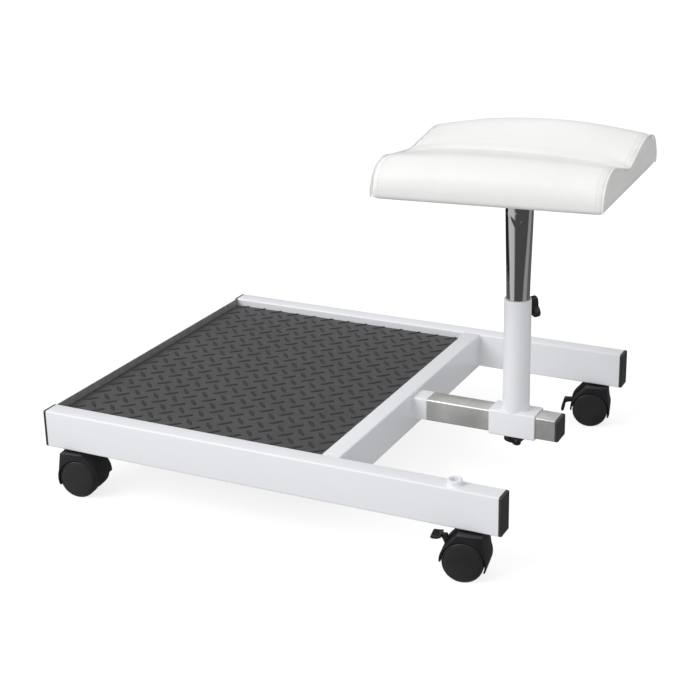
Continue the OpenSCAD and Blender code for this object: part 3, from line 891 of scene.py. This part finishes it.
def makeKnob(name, place, face, body, node):
    # share of the outline's radius, and height over the face that looks at the clamped tube
    depth = knobSet["depth"]
    profile = [(0.34, -knobSet["hub"]), (0.62, -knobSet["hub"]), (0.64, 0.2 * mm), (0.90, 0.3 * mm),
               (0.975, 0.8 * mm), (1.0, 1.8 * mm), (1.0, depth - 3.2 * mm), (0.985, depth - 1.8 * mm),
               (0.94, depth - 0.8 * mm), (0.86, depth - 0.15 * mm), (0.76, depth), (0.46, depth),
               (0.43, depth - 0.5 * mm), (0.40, depth - 0.5 * mm), (0.37, depth - 0.1 * mm), (0.02, depth)]
    rings = []
    for share, height in profile:
        ring = []
        for a in anglesAround(knobSet["steps"]):
            radius = share * (knobSet["mean"] + knobSet["lobe"] * share ** 3 * math.cos(3 * a))
            ring.append(place @ Vector((radius * math.cos(a), radius * math.sin(a), face + height)))
        rings.append(ring)
    knob = shadeSmooth(skinRings(name, rings), 50)
    return keep(knob, body, "knob_plastic", knobPlastic, node)


def makeClamps():
    heightPlace = shift(postAxis.x, 0, middle("height_tip").z) @ spin(knobSet["heightDirection"], "Z")
    heightPlace @= spin(knobSet["heightTurn"], "X") @ spin(90, "Y")
    slidePlace = shift(postAxis.x, 0, middle("slide_bar").z) @ spin(90, "Y")
    slidePlace @= spin(knobSet["slideTurn"], "X") @ spin(90, "Y")
    sleeveOuter = (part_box("sleeve")[1].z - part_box("sleeve")[0].z) / 2
    heightFace = outerRadius("column") + knobSet["heightGap"]
    slideFace = sleeveOuter + knobSet["slideGap"]
    makeKnob("heightKnob", heightPlace, heightFace, "height_clamp_knob", "height_knob")
    makeKnob("slideKnob", slidePlace, slideFace, "slide_clamp_knob", "slide_knob")


makeClamps()
print("clamp knobs made")


# ---- the post, round below and flattened towards its top

postSet = {"round": 15 * mm, "wide": 18.25 * mm, "thin": 11 * mm, "flareStart": 0.262, "flareEnd": 0.392,
           "turn": 4.5, "dentBottom": 0.358, "dentTop": 0.372, "dentDepth": 0.8 * mm, "dentSpread": 0.6,
           "coarse": 12 * mm, "fine": 1.5 * mm, "squareness": 0.16, "steps": 96}


def easeStep(value, low, high):
    t = min(1.0, max(0.0, (value - low) / (high - low)))
    return t * t * (3 - 2 * t)


def makePost():
    low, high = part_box("post")
    coarse, fine = postSet["coarse"], postSet["fine"]
    heights = [low.z, low.z + 1 * mm]
    flareStart = postSet["flareStart"]
    heights += [low.z + 2 * mm + k * coarse for k in range(int((flareStart - low.z) / coarse))]
    heights += [flareStart + k * fine for k in range(int((high.z - flareStart) / fine))]
    heights += [high.z]
    turn = shift(postAxis.x, 0, 0) @ spin(postSet["turn"], "Z")
    rings = []
    for z in heights:
        flat = min(1.0, max(0.0, (z - flareStart) / (postSet["flareEnd"] - flareStart)))
        flat = 0.6 * flat + 0.4 * easeStep(flat, 0, 1)
        wide = postSet["round"] + (postSet["wide"] - postSet["round"]) * flat
        thin = postSet["round"] + (postSet["thin"] - postSet["round"]) * flat
        square = 1 - postSet["squareness"] * flat
        inset = 0.6 * mm if z == low.z else 0.0
        dentReach = (z - postSet["dentBottom"]) * postSet["dentSpread"]
        dentHere = easeStep(z, postSet["dentBottom"] - 2 * mm, postSet["dentBottom"] + 7 * mm)
        dentHere *= 1 - easeStep(z, postSet["dentTop"], postSet["dentTop"] + 4 * mm)
        ring = []
        for a in anglesAround(postSet["steps"], 0.5):
            x = math.copysign(abs(math.cos(a)) ** square, math.cos(a)) * (wide - inset)
            y = math.copysign(abs(math.sin(a)) ** square, math.sin(a)) * (thin - inset)
            if y < 0:
                y += postSet["dentDepth"] * dentHere * (1 - easeStep(abs(x), dentReach, dentReach + 4 * mm))
            ring.append(turn @ Vector((x, y, z)))
        rings.append(ring)
    post = shadeSmooth(skinRings("chromePost", rings), 50)
    return keep(post, "leg_rest", "post_chrome", chrome, "post")


makePost()
print("post made")


# ---- leg rest: plate, screws, cushion and its underside

restTurn = shift(postAxis.x, 0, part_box("cushion_board")[0].z) @ spin(postSet["turn"], "Z")
plateSet = {"length": 130 * mm, "width": 110 * mm, "corner": 10 * mm, "inset": 14 * mm, "sheet": 3 * mm,
            "headRadius": 4.5 * mm, "headHeight": 2.2 * mm, "slot": 1.1 * mm}


def makeMountPlate():
    rings = []
    sheet = plateSet["sheet"]
    for inset, z in ((0.5 * mm, -sheet), (0, -sheet + 0.5 * mm), (0, -0.4 * mm), (0.4 * mm, 0)):
        outline = roundedSection(plateSet["length"] - 2 * inset, plateSet["width"] - 2 * inset,
                                 plateSet["corner"] - inset, 8)
        rings.append([restTurn @ Vector((u, v, z)) for u, v in outline])
    plate = shadeSmooth(skinRings("mountPlate", rings), 50)
    return keep(plate, "leg_rest", "zinc_steel", zinc, "mount_plate")


def makePlateScrews():  # pan heads with a cross recess, under the plate's four corners
    radius, height = plateSet["headRadius"], plateSet["headHeight"]
    profile = [(0, 8 * mm), (1.4 * mm, 6 * mm), (2.3 * mm, 4 * mm), (2.3 * mm, 0), (radius, 0)]
    profile += [(radius, -0.5 * mm), (radius * 0.92, -0.6 * height), (radius * 0.7, -0.9 * height),
                (radius * 0.35, -height), (0, -height)]
    head = turned("screwModel", profile, steps=28)
    slot = plateSet["slot"]
    for turn in (0, 90):
        levels = ((1.2 * mm, -0.3 * height), (5 * mm, -1.3 * height))
        cutter = skinRings("slotCutter", [[Vector((u, v, z)) for u, v in
                           roundedSection(size, slot, 0.1 * mm, 2)] for size, z in levels])
        movePoints(cutter, spin(turn, "Z"))
        cutAway(head, cutter)
    movePoints(head, shift(0, 0, -plateSet["sheet"]))
    spacing = (plateSet["length"] - 2 * plateSet["inset"], plateSet["width"] - 2 * plateSet["inset"])
    screws = gridOf("plateScrewHeads", head, zinc, spacing[0], spacing[1], 2, 2, (0, 0, 0))
    bpy.data.objects.remove(head)
    movePoints(screws, restTurn)
    return keep(screws, "leg_rest", "zinc_steel", zinc, "plate_screws")


cushionSet = {"length": 276 * mm, "width": 272 * mm, "frontTurn": 7.3, "endTurn": 2.4,
              "shift": (0.3 * mm, -3.2 * mm), "shrink": 1.0 * mm, "voxel": 4.2 * mm, "pressure": 3.0,
              "frames": 16, "reach": 6 * mm, "held": 7 * mm, "roll": 6 * mm, "stiffness": 14, "bending": 0.8}
# outline of an end, from the bottom front edge over the two crowns to the bottom rear edge
cushionEnd = ((0.0, 0.0), (-4.5, 4.0), (-3.5, 20.0), (6.0, 36.0), (23.0, 43.6), (41.0, 45.7), (76.0, 38.5),
              (112.0, 29.5), (130.0, 30.5), (154.0, 37.0), (198.0, 44.0), (235.0, 41.0), (250.0, 33.0),
              (259.0, 18.0), (260.0, 8.0), (255.0, 0.0))
# front crown, valley and rear crown: place and spread across the width, rise at left, middle and right
cushionRises = ((0.17, 0.20, -1.0, 6.0, 0.5), (0.46, 0.14, 6.8, 3.0, 0.0), (0.78, 0.22, 1.9, 15.7, 5.0))
cushionEndSpan = (-5.0, 261.5)


def cushionPlace():  # the cover sits a little askew on its board
    front, end = (math.radians(cushionSet[key]) for key in ("frontTurn", "endTurn"))
    lay = Matrix(((math.cos(front), -math.sin(end), 0, 0), (math.sin(front), math.cos(end), 0, 0),
                  (0, 0, 1, 0), (0, 0, 0, 1)))
    offset = Vector((*cushionSet["shift"], 0))
    return Matrix.Translation(restTurn.translation + offset) @ lay


def smoothThrough(points, steps=8):  # a Catmull-Rom line through the points
    line = []
    for k in range(len(points) - 1):
        p0, p1, p2, p3 = (Vector(points[min(max(k + d, 0), len(points) - 1)]) for d in (-1, 0, 1, 2))
        for i in range(steps):
            t = i / steps
            line.append(0.5 * (2 * p1 + (p2 - p0) * t + (2 * p0 - 5 * p1 + 4 * p2 - p3) * t * t
                               + (3 * p1 - 3 * p2 + p3 - p0) * t ** 3))
    return line + [Vector(points[-1])]


def cushionRise(across, along):  # how much the foam stands above the end outline; along is 0 at the right
    rise = 0.0
    for place, reach, left, centre, right in cushionRises:
        here = left * along + centre * 4 * along * (1 - along) + right * (1 - along)
        rise += here * math.exp(-((across - place) / reach) ** 2)
    return rise * mm


def cushionOutline(x, inset=0.0):
    low, high = cushionEndSpan
    half = cushionSet["length"] / 2
    near = max(0.0, 1 - (half - abs(x)) / cushionSet["roll"])
    along = 0.5 - x / cushionSet["length"]
    outline = []
    for p in smoothThrough(cushionEnd):
        across = (p.x - low) / (high - low)
        y = (across - 0.5) * (cushionSet["width"] - 2 * inset)
        z = p.y * mm + min(1.0, max(0.0, p.y / 30)) * (cushionRise(across, along) - inset)
        outline.append(Vector((x, y, max(0.0, z - 0.8 * mm * near * near * min(1.0, p.y / 20)))))
    return outline


def cushionBase():
    half = cushionSet["length"] / 2
    stations = [half * (k / 24 - 1) for k in range(49)]
    return skinRings("cushionBase", [cushionOutline(x, cushionSet["shrink"]) for x in stations])


def puffUp(cushion):  # remesh, then a short cloth run under pressure with the seams held
    remesh = cushion.modifiers.new("remesh", "REMESH")
    remesh.mode = "VOXEL"
    remesh.voxel_size = cushionSet["voxel"]
    settle(cushion)
    rest = [v.co.copy() for v in cushion.data.vertices]
    held = cushion.vertex_groups.new(name="held")
    half = cushionSet["length"] / 2
    for v in cushion.data.vertices:
        fromSeam = min(half - abs(v.co.x), v.co.z)
        hold = 1.0 if fromSeam < 0.4 * cushionSet["held"] else max(0.0, 1 - fromSeam / cushionSet["held"])
        held.add([v.index], hold, "REPLACE")
    cloth = cushion.modifiers.new("cloth", "CLOTH").settings
    cloth.use_pressure = True
    cloth.uniform_pressure_force = cushionSet["pressure"]
    cloth.vertex_group_mass = "held"
    cloth.tension_stiffness = cloth.compression_stiffness = cushionSet["stiffness"]
    cloth.bending_stiffness = cushionSet["bending"]
    cloth.effector_weights.gravity = 0
    scene = bpy.context.scene
    for step in range(1, cushionSet["frames"] + 1):
        scene.frame_set(step)
    settle(cushion)
    scene.frame_set(1)
    furthest = 0.0
    for v, start in zip(cushion.data.vertices, rest):
        move = v.co - start
        furthest = max(furthest, move.length)
        if move.length > cushionSet["reach"]:
            v.co = start + move.normalized() * cushionSet["reach"]
    print("cushion simulated, it moved up to", round(furthest / mm, 1), "mm")
    return cushion


creases = {"depth": 1.5 * mm, "reach": 24 * mm, "spread": 34 * mm, "folds": 9, "unevenness": 0.45 * mm,
           "topsLow": 12 * mm, "valleyAt": 120 * mm, "deepest": 14 * mm, "fanFrom": 20 * mm}


def creaseLeather(cushion):  # gathers of the cover where the valley runs into the end seams
    half = cushionSet["length"] / 2
    for v in cushion.data.vertices:
        x, y, z = v.co
        if z < creases["topsLow"]:
            continue
        inward = half - abs(x)
        valley = y + cushionSet["width"] / 2 - creases["valleyAt"]
        near = math.exp(-((inward - creases["deepest"]) / creases["reach"]) ** 2)
        near *= math.exp(-(valley / creases["spread"]) ** 2)
        fan = math.atan2(valley, inward + creases["fanFrom"])
        z += creases["depth"] * near * math.sin(creases["folds"] * fan + 0.8 * noise.noise(v.co * 40))
        z += 0.4 * creases["depth"] * near * noise.noise(v.co * 90)
        v.co.z = z + creases["unevenness"] * noise.noise(v.co * 22)
    return cushion


def makeCushion():
    cushion = creaseLeather(puffUp(cushionBase()))
    relax = cushion.modifiers.new("relax", "SMOOTH")
    relax.factor = 0.5
    relax.iterations = 2
    finer = cushion.modifiers.new("finer", "SUBSURF")
    finer.levels = finer.render_levels = 1
    settle(cushion)
    cushion.name = "legRestCushion"
    for v in cushion.data.vertices:
        v.co.z = max(0.0, v.co.z)
    movePoints(cushion, cushionPlace())
    shadeSmooth(cushion, 80)
    keep(cushion, "leg_rest", "white_leatherette", leatherWhite, "cushion")
    return cushion


seamSet = {"piping": 1.3 * mm, "stitchIn": 9.5 * mm, "stitchLength": 3.4 * mm, "stitchPitch": 4.6 * mm,
           "thread": 0.42 * mm, "backingIn": 14 * mm, "backingSheet": 0.5 * mm, "stapleIn": 6 * mm,
           "staplePitch": 19 * mm, "stapleLength": 11 * mm, "stapleWire": 0.6 * mm}


def pipeAlong(name, path, radius, sides=10):  # a round cord swept along a line of points
    rings = []
    for k, point in enumerate(path):
        ahead = (path[min(k + 1, len(path) - 1)] - path[max(k - 1, 0)]).normalized()
        side = ahead.cross(Vector((1, 0, 0))).normalized()
        over = side.cross(ahead).normalized()
        rings.append([point + radius * (math.cos(a) * side + math.sin(a) * over)
                      for a in anglesAround(sides)])
    return skinRings(name, rings)


def makePiping():  # a corded seam round the top of each end panel
    cords = []
    for side in (-1, 1):
        x = side * (cushionSet["length"] / 2 - 0.6 * seamSet["piping"])
        outline = cushionOutline(x, cushionSet["shrink"] + 0.7 * mm)
        path = [p + Vector((0, 0, 0.2 * seamSet["piping"])) for p in outline if p.z > 3 * mm]
        cords.append(pipeAlong("cord", path, seamSet["piping"]))
    piping = joinPieces("cushionPiping", cords)
    movePoints(piping, cushionPlace())
    shadeSmooth(piping, 60)
    return keep(piping, "leg_rest", "white_leatherette", leatherWhite)


def stitchModel():
    half, thread = seamSet["stitchLength"] / 2, seamSet["thread"]
    rings = []
    for z, radius in ((-half, 0.3), (-0.8 * half, 0.85), (0, 1.0), (0.8 * half, 0.85), (half, 0.3)):
        rings.append([Vector((radius * thread * math.cos(a), radius * thread * math.sin(a), z))
                      for a in anglesAround(8)])
    return skinRings("stitchModel", rings)


def makeStitches(cushion):  # a row of topstitch beside each end seam, laid on the cover
    cover = BVHTree.FromObject(cushion, bpy.context.evaluated_depsgraph_get())
    lay = cushionPlace()
    model = stitchModel()
    rows = []
    for side in (-1, 1):
        path = []
        for p in cushionOutline(side * (cushionSet["length"] / 2 - seamSet["stitchIn"])):
            if p.z < 6 * mm:
                continue
            inside = lay @ Vector((p.x, 0.86 * p.y, 0.45 * p.z))
            spot = lay @ p
            hit = cover.ray_cast(inside, (spot - inside).normalized())[0]
            if hit is not None:
                path.append(hit)
        rows.append(pathOf("stitches", model, threadWhite, path, seamSet["stitchPitch"]))
    bpy.data.objects.remove(model)
    stitches = joinPieces("cushionStitches", rows)
    return keep(stitches, "leg_rest", "white_leatherette", threadWhite)


def makeBacking():  # a dust cloth under the board, cut out round the plate, and its staples
    inset, sheet = seamSet["backingIn"], seamSet["backingSheet"]
    length, width = cushionSet["length"], cushionSet["width"]
    outer = roundedSection(length - 2 * inset, width - 2 * inset, 8 * mm, 8)
    inner = roundedSection(plateSet["length"] + 1 * mm, plateSet["width"] + 1 * mm, plateSet["corner"], 8)
    rings = [[Vector((u, v, z)) for u, v in outline] for outline, z in
             ((outer, 0.0), (outer, -sheet), (inner, -sheet), (inner, 0.0))]
    cloth = skinRings("dustCloth", rings, closed=True)
    movePoints(cloth, cushionPlace())
    keep(cloth, "leg_rest", "grey_sheet_steel", backing)
    half, wire = seamSet["stapleLength"] / 2, seamSet["stapleWire"]
    section = roundedSection(wire, 2 * wire, 0.2 * mm, 2)
    model = skinRings("stapleModel", [[Vector((u, v, s)) for u, v in section]
                                      for s in (-half, half)])
    around = roundedSection(length - 2 * inset - 2 * seamSet["stapleIn"],
                            width - 2 * inset - 2 * seamSet["stapleIn"], 8 * mm, 8)
    lay = cushionPlace()
    path = [lay @ Vector((u, v, -sheet - 0.3 * wire)) for u, v in around]
    staples = pathOf("backingStaples", model, zinc, path, seamSet["staplePitch"], closed=True)
    bpy.data.objects.remove(model)
    return keep(staples, "leg_rest", "zinc_steel", zinc)


makeMountPlate()
makePlateScrews()
cushion = makeCushion()
makePiping()
makeStitches(cushion)
makeBacking()
print("leg rest made")


# ---- casters

casterSet = {"turn": {"front_left": 188, "front_right": 10, "rear_left": 174, "rear_right": 14},
             "trail": 18 * mm, "drop": 37 * mm, "radius": 25 * mm, "faceAt": 21.5 * mm,
             "innerFace": 6.1 * mm, "dome": 1.2 * mm, "hoodInner": 26.2 * mm, "hoodOuter": 28.5 * mm,
             "hoodHalf": 20.3 * mm, "web": 11 * mm, "topGap": 2 * mm}


def casterPlace(corner):
    stem = middle(corner + "_stem")
    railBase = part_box("rail_front")[0].z
    return shift(stem.x, stem.y, railBase) @ spin(casterSet["turn"][corner], "Z")


def axlePlace(corner):
    return casterPlace(corner) @ shift(-casterSet["trail"], 0, -casterSet["drop"])


def makeWheel(corner, side, node):  # a tyre, a groove and a domed face, turned about the axle
    c = casterSet
    r, outer = c["radius"], c["faceAt"] - c["dome"]
    profile = [(3.06 * mm, c["innerFace"]), (9 * mm, c["innerFace"]), (9 * mm, c["innerFace"] + 2.5 * mm),
               (r - 4 * mm, c["innerFace"] + 2.5 * mm), (r - 4 * mm, c["innerFace"])]
    profile += arc((r - 1.2 * mm, c["innerFace"] + 1.2 * mm), 1.2 * mm, -90, 0, 4)
    profile += arc((r - 1.6 * mm, outer - 1.6 * mm), 1.6 * mm, 0, 80, 5)
    profile += [(r - 2.1 * mm, outer - 0.5 * mm), (r - 2.5 * mm, outer - 0.5 * mm),
                (r - 2.9 * mm, outer + 0.2 * mm)]
    steps = 9
    for k in range(steps + 1):  # the domed face
        share = 1 - k / steps
        radius = (r - 3.4 * mm) * share
        profile.append((radius, outer + 0.35 * mm + (c["dome"] - 0.35 * mm) * (1 - share ** 2.6)))
    profile += [(0, outer - 2 * mm), (3.06 * mm, outer - 2 * mm)]
    place = axlePlace(corner) @ spin(-90 * side, "X")
    wheelNode = corner + "_wheel_" + node
    wheel = turned(wheelNode, profile, place, 96, closed=True)
    return keep(wheel, wheelNode, "wheel_plastic", wheelPlastic, wheelNode)


def hoodOutline(radius):  # side view of the hood, round the axle from its front tip to its rear lip
    top = casterSet["drop"] - casterSet["topGap"]
    outline = arc((0, 0), radius, -21, 20, 8)
    outline += [(23 * mm, top), (-7 * mm, top)]
    outline += arc((0, 0), radius, 133, 182, 10)
    outline += [(-17 * mm, -2 * mm)]
    return outline


def makeHood(corner):
    c = casterSet
    half = c["hoodHalf"]
    outline = hoodOutline(c["hoodOuter"])
    shell = slab("hood", outline, -half, half)
    roundEdges(shell, 0.8 * mm, 3, 40)
    cutters = []
    for side in (-1, 1):
        place = spin(-90 * side, "X")
        profile = [(0, c["web"] / 2), (c["hoodInner"], c["web"] / 2), (c["hoodInner"], half + 4 * mm),
                   (0, half + 4 * mm)]
        cutters.append(turned("room", profile, place, 96))
    for cutter in cutters:
        cutAway(shell, cutter)
    if corner in brakeSet["pressed"]:
        slotForBrake(shell)
    core = [(4.1 * mm, -c["topGap"]), (7.2 * mm, -c["topGap"]), (8 * mm, -c["topGap"] - 0.8 * mm),
            (8 * mm, -11 * mm), (4.1 * mm, -11 * mm)]
    place = shift(c["trail"], 0, c["drop"])
    shell = joinPieces("hood", [shell, turned("core", core, place, 48, closed=True)])
    movePoints(shell, axlePlace(corner))
    hood = shadeSmooth(shell, 30)
    hood.name = corner + "_hoodShell"
    return keep(hood, corner + "_caster", "caster_plastic", casterPlastic, corner + "_hood")


brakeSet = {"pivot": (-20 * mm, 8 * mm), "arm": 17 * mm, "armAngle": 105, "boss": 3 * mm, "sheet": 3 * mm,
            "blade": 5.4 * mm, "paddle": 13 * mm, "width": 18 * mm, "bore": 1.56 * mm, "slot": 6.2 * mm,
            "ribs": 4, "ribPitch": 1.9 * mm, "pressed": {"front_right": 0, "rear_right": 75}}


def brakePlace(corner):
    x, z = brakeSet["pivot"]
    return axlePlace(corner) @ shift(x, 0, z) @ spin(-brakeSet["pressed"][corner], "Y")


def makeBrake(corner):  # an arm from the pin up to a wide paddle with grip ribs
    b = brakeSet
    angle = math.radians(b["armAngle"])
    kneeX, kneeZ = b["arm"] * math.cos(angle), b["arm"] * math.sin(angle)
    half = b["sheet"] / 2
    armLine = arc((0, 0), b["boss"], 160, 380, 12)
    armLine += [(kneeX + 2.6 * mm, kneeZ + half), (kneeX - 5 * mm, kneeZ + half),
                (kneeX - 5 * mm, kneeZ - half - 1 * mm), (kneeX - 2.8 * mm, kneeZ - 5 * mm)]
    blade = b["blade"] / 2
    arm = slab("arm", armLine, -blade, blade)
    roundEdges(arm, 0.5 * mm, 2, 50)
    cutAway(arm, slab("bore", arc((0, 0), b["bore"], 0, 345, 23), -4 * mm, 4 * mm))
    line = ((0, 1.4), (0, -1.4), (-2, -1.5), (-4, -2.8), (-10.6, -2.9), (-12.6, -1.2), (-12.2, 0.6),
            (-10.4, 1.1), (-4, 1.1), (-2, 1.4))
    rings = []
    for share, inset in ((-1.0, 0.7), (-0.96, 0.2), (-0.9, 0.0), (0.9, 0.0), (0.96, 0.2), (1.0, 0.7)):
        wide, high = mm * (1 - 0.02 * inset), mm * (1 - 0.25 * inset)
        rings.append([alongY(kneeX - 4 * mm + u * wide, kneeZ + v * high, share * b["width"] / 2)
                      for u, v in line])
    paddle = skinRings("paddle", rings)
    roundEdges(paddle, 0.45 * mm, 2, 50)
    ribLine = roundedSection(1.1 * mm, 1.6 * mm, 0.5 * mm, 4)
    reach = 0.42 * b["width"]
    rib = slab("ribModel", ribLine, -reach, reach)
    centre = (kneeX - 11.2 * mm, 0, kneeZ + 0.8 * mm)
    span = (b["ribs"] - 1) * b["ribPitch"]
    ribs = gridOf("paddleRibs", rib, casterPlastic, span, 0.01 * mm, b["ribs"], 2, centre)
    bpy.data.objects.remove(rib)
    lever = joinPieces(corner + "_brakeLever", [arm, paddle, ribs])
    movePoints(lever, brakePlace(corner))
    shadeSmooth(lever, 40)
    return keep(lever, corner + "_brake_lever", "caster_plastic", casterPlastic, corner + "_brake")


def slotForBrake(shell):  # room for the arm in the hood's web
    outline = [(brakeSet["pivot"][0] + 3.2 * mm, brakeSet["pivot"][1] - 3.2 * mm)]
    outline += arc(brakeSet["pivot"], 31 * mm, 70, 230, 16)
    half = brakeSet["slot"] / 2
    cutAway(shell, slab("slotCutter", outline, -half, half))


wheelSides = {"front_left": (1, -1), "front_right": (-1, 1), "rear_left": (-1, 1), "rear_right": (1, -1)}
for corner in corners:
    makeHood(corner)
    makeWheel(corner, wheelSides[corner][0], "outer")
    makeWheel(corner, wheelSides[corner][1], "inner")
for corner in brakeSet["pressed"]:
    makeBrake(corner)
print("casters made")


# ---- CAD nodes that stay, with their finishes

stayingNodes = {
    white: ("tray_ledges",),
    zinc: ("stem_nuts", "height_screw", "slide_screw", "front_right_brake_pin", "rear_right_brake_pin",
           *(corner + part for corner in corners for part in ("_stem", "_axle"))),
    nylon: ("height_tip", "slide_tip"),
    plywood: ("cushion_board",),
    knobPlastic: ("post_foot",),
}
for finish, nodes in stayingNodes.items():
    for node in nodes:
        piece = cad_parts[node]
        for place in piece.material_slots:
            place.material = finish
print("kept CAD nodes finished")
